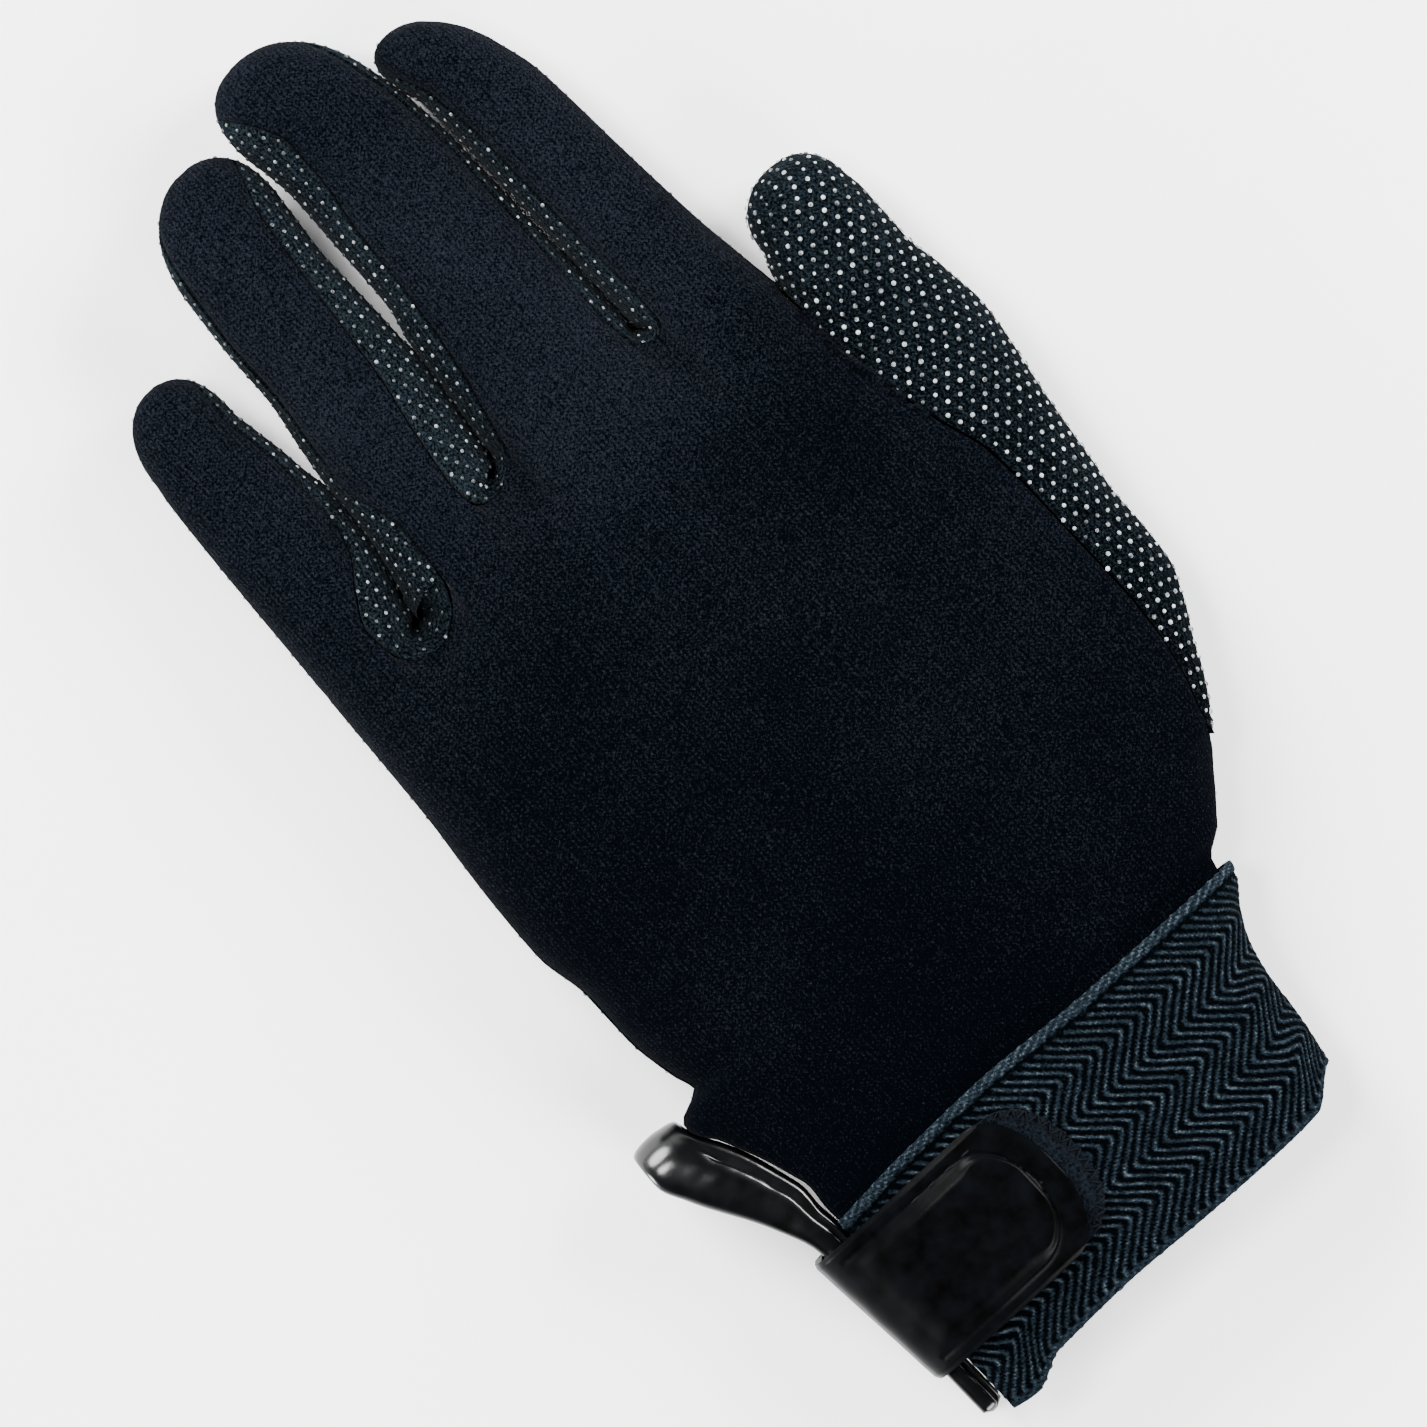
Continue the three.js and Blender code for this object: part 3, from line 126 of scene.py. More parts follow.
CUFF = columns(
    "v right top", (0, 0.496, 1), (0.07, 0.487, 0.995), (0.2, 0.45, 0.985), (0.32, 0.425, 0.975),
    (0.5, 0.406, 0.965), (0.75, 0.395, 0.955), (1, 0.378, 0.945),
)
CUFF_EDGE = columns(
    "x top hem", (0, 0, 0.035), (0.06, 0.012, 0.05), (0.16, 0.028, -0.02), (0.35, 0.035, -0.03),
    (0.6, 0.0, -0.005), (0.85, -0.02, 0.012), (1, -0.035, 0),
)
VENT = columns(
    "y x w", (-0.325, -0.4, 0.38), (-0.24, -0.401, 0.38), (-0.12, -0.402, 0.42), (-0.01, -0.407, 0.56),
    (0.045, -0.422, 0.72), (0.1, -0.444, 0.85), (0.15, -0.467, 0.95), (0.19, -0.489, 1), (0.24, -0.497, 0.94),
)
FOLDS = [(0.2, 0.13, -33, 0.2, 0.034, 0.035), (0.3, 0.09, -38, 0.15, 0.026, 0.04),
         (0.1, 0.22, -24, 0.22, 0.04, 0.024), (-0.08, 0.17, -14, 0.22, 0.04, 0.02),
         (0.37, 0.05, -62, 0.09, 0.02, 0.035)]


def lerp(a, b, t):
    return a + (b - a) * t


def smooth(a, b, v):
    t = np.clip((np.asarray(v, float) - a) / (b - a), 0, 1)
    return t * t * (3 - 2 * t)


def sup(v, e):
    return np.sign(v) * np.abs(v) ** e


def unit(v):
    return v / np.maximum(np.linalg.norm(v, axis=-1, keepdims=True), 1e-12)


def run_of(points):
    """Length run along a row of points, from 0 at the first."""
    return np.concatenate([[0], np.cumsum(np.linalg.norm(np.diff(points, axis=0), axis=-1))])


def along(table, at, key, value):
    """Smooth curve through the rows of a table that never overshoots them."""
    x, y = table[at], table[key]
    v = np.clip(np.asarray(value, float), x[0], x[-1])
    step = np.diff(x)
    d = np.diff(y) / step
    p, q = d[:-1], d[1:]
    m = np.concatenate([[d[0]], np.where(p * q > 0, 2 * p * q / np.where(p * q > 0, p + q, 1), 0), [d[-1]]])
    i = np.clip(np.searchsorted(x, v, side="right") - 1, 0, len(x) - 2)
    h = step[i]
    t = (v - x[i]) / h
    return ((2 * t**3 - 3 * t**2 + 1) * y[i] + (t**3 - 2 * t**2 + t) * h * m[i]
            + (3 * t**2 - 2 * t**3) * y[i + 1] + (t**3 - t**2) * h * m[i + 1])


def section(left, right, top, middle, angle):
    """Round section with a crown above its middle height and a pressed flat underside."""
    c, s = np.cos(angle), np.sin(angle)
    e = 2 / ROUNDNESS
    half = (right - left) / 2
    rise = np.where(s > 0, top - middle, middle + FLATNESS)
    x = (left + right) / 2 + half * sup(c, e)
    z = np.maximum(0, middle + rise * sup(s, e))
    return x, z


def angle_at(left, right, x, up):
    k = np.clip((x - (left + right) / 2) / ((right - left) / 2), -1, 1)
    a = np.arccos(sup(k, ROUNDNESS / 2))
    return a if up else -a


def cap_width(t):
    return (1 - np.clip(t, 0, 1) ** ROUNDNESS) ** (1 / ROUNDNESS)


def finger_at(k, y):
    """Sides, crown and seam angles of finger k at height y."""
    f = FINGERS[k]
    tip_y, cap = PALM_LENGTH + f["tip"][1] * FINGER_LENGTH, f["cap"] * FINGER_LENGTH
    share = (np.minimum(y, tip_y - cap) - PALM_LENGTH) / FINGER_LENGTH
    left, right, seam_l, seam_r = (along(f["sides"], "y", key, share) * FINGER_WIDTH
                                   for key in ("left", "right", "seam_l", "seam_r"))
    t = np.clip((y - (tip_y - cap)) / cap, 0, 1)
    w = cap_width(t)
    middle = lerp((left + right) / 2, f["tip"][0] * FINGER_WIDTH, t)
    half = (right - left) / 2
    root = 1 + 0.14 * smooth(PALM_LENGTH + 0.35 * FINGER_LENGTH, PALM_LENGTH - 0.1 * FINGER_LENGTH, y)
    top = f["top"] * FINGER_HEIGHT * root
    inset = SIDE_INSET * FINGER_WIDTH
    fade = np.sqrt(np.clip(1 - (t / GUSSET_END) ** 2, 0, 1))
    up_r = angle_at(left, right, seam_r, True) * fade if k < 3 else 0 * t
    down_r = angle_at(left, right, right - inset, False) * fade if k < 3 else 0 * t
    up_l, down_l = math.pi + 0 * t, -math.pi + 0 * t
    if k > 0:
        up_l = math.pi - (math.pi - angle_at(left, right, seam_l, True)) * fade
        down_l = -math.pi + (math.pi + angle_at(left, right, left + inset, False)) * fade
    return {"left": middle - half * w, "right": middle + half * w, "top": lerp(SEAM_HEIGHT, top, w),
            "middle": SEAM_HEIGHT * lerp(0.92, 1, 1 - t), "flat": w,
            "up": (up_l, up_r), "down": (down_l, down_r)}


def finger_point(k, y_left, y_right, angle):
    share = (1 - np.cos(angle)) / 2
    y = lerp(y_right, y_left, share)
    g = finger_at(k, y)
    x, z = section(g["left"], g["right"], g["top"], g["middle"], angle)
    z = np.where(z < g["middle"], lerp(g["middle"], z, g["flat"]), z)
    return np.stack([x, y + 0 * x, z], axis=-1)


def finger_rows(k, shaft, cap):
    """Heights of a finger's left and right side, row by row: the shaft, then the shares of its round end."""
    f = FINGERS[k]
    start = PALM_LENGTH + (f["tip"][1] - f["cap"]) * FINGER_LENGTH
    shares = np.linspace(0, 1, shaft + 1)
    roots = [PALM_LENGTH + r * FINGER_LENGTH for r in f["root"]]
    rows = [[lerp(r, start, s) for r in roots] for s in shares]
    return np.array(rows + [[start + t * f["cap"] * FINGER_LENGTH] * 2 for t in cap])


def seam_angles(k, rows, up):
    key = "up" if up else "down"
    return finger_at(k, rows[..., 0])[key][0], finger_at(k, rows[..., 1])[key][1]


def finger_seam(k, rows, side, up):
    """Seam points of finger rows, and the direction from the panel outwards across the seam."""
    angle = seam_angles(k, rows, up)[1 if side > 0 else 0]
    here = finger_point(k, rows[..., 0], rows[..., 1], angle)
    step = (-1 if side > 0 else 1) * (1 if up else -1) * 0.02
    return here, unit(finger_point(k, rows[..., 0], rows[..., 1], angle + step) - here)


def crotch_stations(k, cols):
    """Round notch between fingers k and k + 1: seam points of the back and the palm, and the plan direction in."""
    th = math.pi * np.arange(1, cols) / cols
    share = (1 - np.cos(th)) / 2
    into = np.stack([np.cos(th), np.sin(th), 0 * th], axis=-1)
    out = {"into": into}
    for up, depth in ((True, CROTCHES[k][0]), (False, CROTCHES[k][1])):
        a = finger_seam(k, finger_rows(k, 1, ())[0], 1, up)[0]
        b = finger_seam(k + 1, finger_rows(k + 1, 1, ())[0], -1, up)[0]
        p = a + (b - a) * share[:, None]
        p[:, 1] -= depth * FINGER_LENGTH * np.sin(th)
        if up:
            p[:, 2] -= CROTCHES[k][2] * FINGER_HEIGHT * np.sin(th)
        across = unit(np.array([0, 0, -1.0 if up else 1.0]) + into * (0.6 if up else -0.4))
        out["up" if up else "down"] = (p, across)
    return out


def cuff_section(x, v, d, up):
    right = along(CUFF, "v", "right", v) * CUFF_GIRTH - d
    top = along(CUFF, "v", "top", v) * CUFF_HEIGHT - d
    left = CUFF_LEFT + d
    middle = SEAM_HEIGHT + 1.5
    k = np.clip((x - (left + right) / 2) / ((right - left) / 2), -1, 1)
    w = (1 - np.abs(k) ** (2.5 if up else 4.5)) ** (1 / (2.1 if up else 2.5))
    raised = CUFF_RAISE * smooth(VENT_X + STRAP_TUCK + 14, VENT_X + STRAP_TUCK + 1, x)
    bottom = np.maximum(raised, middle - (middle + FLATNESS) * w) + d
    z = middle + (top - middle) * w if up else np.maximum(bottom, middle - (middle - d) * w)
    return z, right


def thumb_at(y):
    share = y / PALM_LENGTH
    s = np.minimum(share, THUMB_TIP_Y - THUMB_CAP)
    t = np.clip((share - (THUMB_TIP_Y - THUMB_CAP)) / THUMB_CAP, 0, 1)
    w = cap_width(t)
    inner = along(THUMB, "y", "inner", s) * PALM_WIDTH
    outer = np.maximum(along(THUMB, "y", "outer", s) * PALM_WIDTH, inner + 1)
    top = along(THUMB, "y", "top", s) * THUMB_HEIGHT
    free = smooth(0.9, 1, share) * t
    middle = lerp((inner + outer) / 2, THUMB_TIP_X * PALM_WIDTH, t)
    half = lerp((outer - inner) / 2, np.minimum((outer - inner) / 2, THUMB_WIDTH / 2), free)
    return middle - half * w, middle + half * w, lerp(SEAM_HEIGHT, top, w), w


def thumb_point(y, angle):
    inner, outer, top, w = thumb_at(y)
    x, z = section(inner, outer, top, SEAM_HEIGHT, angle)
    z = np.where(z < SEAM_HEIGHT, lerp(SEAM_HEIGHT, z, w), z)
    return np.stack([x, y + 0 * x, z], axis=-1)


def thumb_seam(y, up):
    x = along(PALM, "y", "right" if up else "palm", y / PALM_LENGTH) * PALM_WIDTH
    inner, outer = thumb_at(y)[:2]
    opened = smooth(THUMB_CROTCH, THUMB_CROTCH - 0.05 * PALM_LENGTH, y)
    flat = angle_at(inner, outer, np.maximum(x, inner), up)
    angle = lerp(math.pi if up else -math.pi, flat, opened)
    here = thumb_point(y, angle)
    return here, unit(thumb_point(y, angle + (-0.02 if up else 0.02)) - here), angle


def fold_rise(x, y):
    z = 0 * x
    for fx, fy, turn, length, width, rise in FOLDS:
        a = math.radians(turn)
        dx, dy = x - fx * PALM_WIDTH, y - fy * PALM_LENGTH
        u = (dx * math.cos(a) + dy * math.sin(a)) / (length * PALM_WIDTH)
        v = (-dx * math.sin(a) + dy * math.cos(a)) / (width * PALM_WIDTH)
        z = z + rise * PALM_HEIGHT * np.exp(-u * u - v * v) * (1 - 0.5 * np.exp(-((v - 1.6) ** 2)))
    return z


PIPING_SHIFT = 1.3  # the binding is wider near the vent's top, where its inner piping lies nearer to the hand


def near_vent_top(y):
    return smooth(2, 9, y) * smooth(28, 23, y)


def palm_edges(y, up):
    share = y / PALM_LENGTH
    left = along(PALM, "y", "left", share) * PALM_WIDTH + PIPING_SHIFT * near_vent_top(y)
    right = along(PALM, "y", "right" if up else "palm", share) * PALM_WIDTH
    lift = along(PALM, "y", "lift", share) * VENT_HEIGHT * 0.5
    seam = thumb_seam(y, up)[0]
    in_thumb = (y > THUMB_END - 1e-6) & (y < THUMB_CROTCH - 1e-6)
    return (left, np.where(in_thumb, seam[..., 0], right), SEAM_HEIGHT + (lift if up else -lift),
            np.where(in_thumb, seam[..., 2], SEAM_HEIGHT), in_thumb)


def palm_point(y, f, up):
    """Back (up) or palm from the cuff to the finger roots, f across from the left edge to the right one."""
    left, right, z_left, z_right, _ = palm_edges(y, up)
    x = lerp(left, right, f)
    k = 2 * f - 1
    z_edge = np.where(k < 0, z_left, z_right)
    opened = np.where(k < 0, along(PALM, "y", "lift", y / PALM_LENGTH),
                      smooth(SEAM_HEIGHT, THUMB_HEIGHT * 0.8, np.abs(z_right)))
    if up:
        w = (1 - np.abs(k) ** 2.5) ** (1 / lerp(2.1, 1.35, opened))
        z = z_edge + (along(PALM, "y", "top", y / PALM_LENGTH) * PALM_HEIGHT - z_edge) * w + fold_rise(x, y) * w
    else:
        w = (1 - np.abs(k) ** 5) ** (1 / 2.2)
        z = np.maximum(0, z_edge - (z_edge + FLATNESS) * w)
    lap = smooth(0.09 * PALM_LENGTH, 0.005 * PALM_LENGTH, y)
    v = np.clip(-y / CUFF_WIDTH, 0, 1)
    d = CUFF_WALL + LAYER_GAP + FACET_GAP * (1 if up else 1.5)
    inner = cuff_section(x, v, d, up)[1]
    x_lap = lerp(left, lerp(right, inner, smooth(0.032 * PALM_LENGTH, 0, y)), f)
    z_lap = np.where(f > 0.9999, SEAM_HEIGHT + 1.5, cuff_section(lerp(left, inner, f), v, d, up)[0])
    x = np.where(lap > 0, x_lap, x)
    return np.stack([x, y + 0 * x, np.where(lap > 0, lerp(z, z_lap, lap), z)], axis=-1)


def noise_at(points, size, seed=0.0):
    """Smooth noise from -1 to 1 at points in millimetres, size is the width of its lumps."""
    flat = np.asarray(points, float).reshape(-1, 3) / size + seed
    return np.array([noise.noise(Vector(p)) for p in flat]).reshape(np.shape(points)[:-1])


# Meshes

# Thickness of each finished cloth, millimetres.
JERSEY_WALL, GRIP_WALL, GUSSET_WALL, ELASTIC_WALL, PILE_WALL, LEATHER_WALL = 1.2, 1.4, 1.1, 1.1, 0.7, 1.3
WAVE_SIZE = 11.0  # width of the jersey's soft waves


def metres(points):
    return (points + SHIFT) / 1000


def read(data, key, width, kind=np.float32):
    out = np.zeros(len(data) * width, kind)
    data.foreach_get(key, out)
    return out.reshape(-1, width) if width > 1 else out


def lay_grid(bm, points, cloth, flip=False):
    """Lays a flat grid on rows of points in millimetres and keeps the cloth's own coordinates as its UV map."""
    rows, cols = points.shape[:2]
    part = bmesh.new()
    bmesh.ops.create_grid(part, x_segments=cols - 1, y_segments=rows - 1, size=0.5)
    mesh = bpy.data.meshes.new("grid")
    part.to_mesh(mesh)
    part.free()
    co = read(mesh.vertices, "co", 3)
    c = np.rint((co[:, 0] + 0.5) * (cols - 1)).astype(int)
    r = np.rint((co[:, 1] + 0.5) * (rows - 1)).astype(int)
    mesh.vertices.foreach_set("co", metres(points[r, c]).astype(np.float32).ravel())
    corner = read(mesh.loops, "vertex_index", 1, np.int32)
    layer = mesh.uv_layers.new(name="cloth")
    layer.data.foreach_set("uv", (cloth[r, c][corner] / 1000).astype(np.float32).ravel())
    if flip:
        mesh.flip_normals()
    bm.from_mesh(mesh)
    bpy.data.meshes.remove(mesh)


def weld(bm, distance=0.002):
    bmesh.ops.remove_doubles(bm, verts=bm.verts[:], dist=distance / 1000)
    bmesh.ops.dissolve_degenerate(bm, edges=bm.edges[:], dist=distance / 1000)
    bm.normal_update()


def relief(bm, height):
    """Moves points along their normals by height, which gets them, their distance to the edge and its place."""
    bm.normal_update()
    points = np.array([v.co for v in bm.verts]) * 1000 - SHIFT
    rim = [v.co.copy() for v in bm.verts if v.is_boundary]
    tree = KDTree(len(rim))
    for i, co in enumerate(rim):
        tree.insert(co, i)
    tree.balance()
    found = [tree.find(v.co) for v in bm.verts]
    near = np.array([f[0] for f in found]) * 1000 - SHIFT
    distance = np.array([f[2] for f in found]) * 1000
    rise = height(points, distance, near)
    for v, h in zip(bm.verts, rise):
        v.co += v.normal * (float(h) / 1000)
    for v in bm.verts:
        v.co.z = max(v.co.z, 0.0)
    bm.normal_update()


def seam_relief(roll, pucker, size=3.2):
    """Cloth rolled down into its seam, with small puckers that run across the seam."""
    def height(points, distance, near):
        ripple = noise_at(near, size, 3.1)
        return (-roll * np.exp(-((distance / 0.9) ** 2)) + pucker * ripple * np.exp(-distance / 2.6)
                * smooth(0.0, 1.2, distance))
    return height


def jersey_relief(roll, pucker):
    """Seam relief with the loose jersey's soft waves and the gathers above the elastic."""
    plain = seam_relief(roll, pucker)

    def height(points, distance, near):
        wrist = smooth(40, 8, points[:, 1])
        waves = 0.22 * noise_at(points, WAVE_SIZE, 2.2) + 0.1 * noise_at(points, 4.5, 5.1)
        turned = points[:, :2] @ np.array([[0.84, 0.54], [-0.54, 0.84]])
        drawn = np.stack([turned[:, 0] * 0.25, turned[:, 1], 0 * wrist], axis=-1)
        gathers = 0.9 * wrist * noise_at(drawn, 6.0, 8.3)
        on_thumb = (near[:, 0] > 44) & (near[:, 1] < THUMB_CROTCH) & (near[:, 1] > THUMB_END)
        tight = plain(points, distance, near) * np.where(on_thumb, 0.3, 1.0)
        return tight + (waves + gathers) * smooth(0.5, 5, distance)
    return height


def thumb_relief(roll, pucker, strip=2.3):
    """Seam relief with a soft turned strip beside the seam and a groove behind it."""
    plain = seam_relief(roll * 0.5, pucker)

    def height(points, distance, near):
        wide = strip + 0.4 * noise_at(near, 6.0, 9.2)
        groove = -0.45 * np.exp(-(((distance - wide) / 0.45) ** 2))
        crease = (points - THUMB_CREASE)[:, :2]
        along_crease = crease @ CREASE_LINE
        off = crease @ np.array([-CREASE_LINE[1], CREASE_LINE[0]]) + 0.06 * along_crease**2
        fold = -0.9 * np.exp(-((off / 1.1) ** 2) - (along_crease / 5.5) ** 2) * (points[:, 2] > SEAM_HEIGHT)
        return (plain(points, distance, near) + 0.22 * np.exp(-(((distance - strip / 2) / 0.7) ** 2)) + groove
                + fold + 0.3 * noise_at(points, 7.0, 4.4) * smooth(1, 6, distance))
    return height


def make_wall(bm, thickness):
    """Gives the sheet its wall, inwards, with a closed rim."""
    mesh = bpy.data.meshes.new("wall")
    bm.to_mesh(mesh)
    obj = bpy.data.objects.new("wall", mesh)
    bpy.context.scene.collection.objects.link(obj)
    solid = obj.modifiers.new("wall", "SOLIDIFY")
    solid.thickness, solid.offset, solid.use_even_offset = thickness / 1000, -1.0, False
    done = bpy.data.meshes.new_from_object(obj.evaluated_get(bpy.context.evaluated_depsgraph_get()))
    bm.clear()
    bm.from_mesh(done)
    bpy.data.objects.remove(obj)
    bpy.data.meshes.remove(mesh)
    bpy.data.meshes.remove(done)
    bm.normal_update()


def finish_piece(name, bm, colours, materials, node):
    """Makes the mesh an object with its materials, in place of its CAD node."""
    mesh = bpy.data.meshes.new(name)
    bm.to_mesh(mesh)
    bm.free()
    mesh.polygons.foreach_set("use_smooth", np.ones(len(mesh.polygons), bool))
    mesh.set_sharp_from_angle(angle=math.radians(55))
    for material in materials:
        mesh.materials.append(finish_material(material, colours))
    obj = bpy.data.objects.new(name, mesh)
    bpy.context.scene.collection.objects.link(obj)
    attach(obj, "root")
    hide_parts(node)
    return obj


def lattice(points, cloth, pitch, turn=0.0):
    """Places of a staggered dot pattern on a grid: the pattern's own points found in the cloth's coordinates."""
    row_pitch = pitch * 0.866
    c, s = math.cos(math.radians(turn)), math.sin(math.radians(turn))
    cloth = np.stack([cloth[..., 0] * c + cloth[..., 1] * s, cloth[..., 1] * c - cloth[..., 0] * s], axis=-1)
    a, b, c, d = points[:-1, :-1], points[:-1, 1:], points[1:, 1:], points[1:, :-1]
    ua, ub, uc, ud = cloth[:-1, :-1], cloth[:-1, 1:], cloth[1:, 1:], cloth[1:, :-1]
    middle = (ua + ub + uc + ud) / 4
    row = np.rint(middle[..., 1] / row_pitch)
    shift = np.where(row % 2 == 0, 0, 0.5) * pitch
    spot = np.stack([np.rint((middle[..., 0] - shift) / pitch) * pitch + shift, row * row_pitch], axis=-1)
    places, normals = [], []
    for (p0, p1, p2), (u0, u1, u2) in (((a, b, c), (ua, ub, uc)), ((a, c, d), (ua, uc, ud))):
        e1, e2, e = u1 - u0, u2 - u0, spot - u0
        det = e1[..., 0] * e2[..., 1] - e1[..., 1] * e2[..., 0]
        det = np.where(np.abs(det) < 1e-9, 1e9, det)
        s = (e[..., 0] * e2[..., 1] - e[..., 1] * e2[..., 0]) / det
        t = (e1[..., 0] * e[..., 1] - e1[..., 1] * e[..., 0]) / det
        inside = (s >= 0) & (t >= 0) & (s + t <= 1)
        p = p0 + (p1 - p0) * s[..., None] + (p2 - p0) * t[..., None]
        n = unit(np.cross(p1 - p0, p2 - p0))
        places.append(p[inside])
        normals.append(n[inside])
    places, normals = np.concatenate(places), np.concatenate(normals)
    _, first = np.unique(np.round(places / 0.6).astype(int), axis=0, return_index=True)
    first.sort()
    return places[first], normals[first]


def bead(sides, rings, slot, cut):
    """A round bead or, cut, its upper half as a mesh, and its points."""
    part = bmesh.new()
    bmesh.ops.create_uvsphere(part, u_segments=sides, v_segments=rings, radius=1.0)
    if cut:
        bmesh.ops.bisect_plane(part, geom=part.verts[:] + part.edges[:] + part.faces[:], dist=1e-5,
                               plane_co=(0, 0, -0.01), plane_no=(0, 0, 1), clear_inner=True)
    # Sorted, so that the points and faces have the same order in each run.
    order = Vector((1, 10, 100))
    part.verts.sort(key=lambda v: v.co.dot(order))
    part.faces.sort(key=lambda f: f.calc_center_median().dot(order))
    mesh = bpy.data.meshes.new("bead")
    part.to_mesh(mesh)
    part.free()
    mesh.polygons.foreach_set("material_index", np.full(len(mesh.polygons), slot, np.int32))
    return mesh, read(mesh.vertices, "co", 3)


def add_dots(bm, places, normals, radius, height, slot=1, sides=8):
    """Low round domes of the same few faces at each place."""
    mesh, base = bead(sides, 4, slot, True)
    for i, (p, n) in enumerate(zip(places, normals)):
        side = unit(np.cross(n, [0.3, 1.0, 0.1]))
        other = np.cross(n, side)
        grow = 1 + 0.12 * math.sin(i * 12.9898)
        spot = (p + (base[:, :1] * side + base[:, 1:2] * other) * radius * grow + base[:, 2:] * n * height * grow)
        mesh.vertices.foreach_set("co", metres(spot).astype(np.float32).ravel())
        bm.from_mesh(mesh)
    bpy.data.meshes.remove(mesh)


def add_threads(bm, starts, ends, normals, radius, slot=0):
    """Short stitches: each one a stretched bead that dips into the cloth at its two ends."""
    mesh, base = bead(6, 5, slot, False)
    for a, b, n in zip(starts, ends, normals):
        line = unit(b - a)
        side = unit(np.cross(n, line))
        up = np.cross(line, side)
        length = np.linalg.norm(b - a) / 2
        spot = ((a + b) / 2 + base[:, 2:] * line * length + base[:, :1] * side * radius
                + (base[:, 1:2] * radius + 0.35 * radius * (1 - base[:, 2:] ** 2)) * up)
        mesh.vertices.foreach_set("co", metres(spot).astype(np.float32).ravel())
        bm.from_mesh(mesh)
    bpy.data.meshes.remove(mesh)


def arc_cloth(points, t, middle=None, fade=None):
    """Cloth coordinates of a grid: X in the middle column plus the real length across, and t along."""
    rows, cols = points.shape[:2]
    mid = cols // 2 if middle is None else middle
    ds = np.linalg.norm(np.diff(points, axis=1), axis=-1)
    s = np.concatenate([np.zeros((rows, 1)), np.cumsum(ds, axis=1)], axis=1)
    s = s - s[:, mid:mid + 1] + points[:, mid:mid + 1, 0]
    if fade is not None:
        s = points[..., 0] + (s - points[..., 0]) * fade[:, None]
    return np.stack([s, np.broadcast_to(np.asarray(t)[:, None], s.shape)], axis=-1)


# Hand panels

THUMB_CREASE = np.array([69.0, 58.0, 18.0])  # middle of the fold where the thumb bends
CREASE_LINE = unit(np.array([6.0, -6.0]))
DOT_REACH = 1.13  # of a dot's height: the cloth is kept so far off the table
DOT_TURN = -13.0  # how far the thumb's dot rows are turned from straight across

LAST_EVEN_ROW = 0.814  # share of the palm's length up to which its rows run straight across
FINGER_COLS, CROTCH_COLS = 22, 12
CAP_STEPS = (0.08, 0.16, 0.24, 0.32, 0.4, 0.48, 0.55, 0.61, 0.66, 0.69, 0.7, 0.74, 0.79, 0.84, 0.88, 0.92,
             0.95, 0.975, 0.99)
SHAFT_ROWS = 64
GUSSET_ROWS = SHAFT_ROWS + 10
NOTCH_BLUR = 7  # columns on each side over which the fingers' roots fade into one smooth back


def even_ends(f, end=0.1):
    """Shares across the hand with the first and last tenth squeezed so that they run from 0 to 1."""
    f = np.where(f > 1 - end, 1 - end + (f - 1 + end) * end / (f[-1] - 1 + end), f)
    return np.clip(np.where(f < end, end - (end - f) * end / (end - f[0]), f), 0, 1)


def blurred(values, reach):
    """Running mean over neighbouring columns, twice."""
    for _ in range(2):
        padded = np.concatenate([values[:1].repeat(reach, 0), values, values[-1:].repeat(reach, 0)])
        total = np.cumsum(np.concatenate([0 * padded[:1], padded]), axis=0)
        values = (total[2 * reach + 1:] - total[:-2 * reach - 1]) / (2 * reach + 1)
    return values


def rise_to(rest, soft, share, y, w):
    """Rise of the rows below the fingers towards the finger roots, held back beside the thumb seam."""
    near = smooth(PALM_LENGTH - 16, PALM_LENGTH - 1, y)[..., None]
    held = 1 - smooth(0.86, 1, share)[None] * smooth(THUMB_CROTCH + 5, THUMB_CROTCH - 12, y)
    return lerp(soft[None], rest[None], near) * (w * held)[..., None]


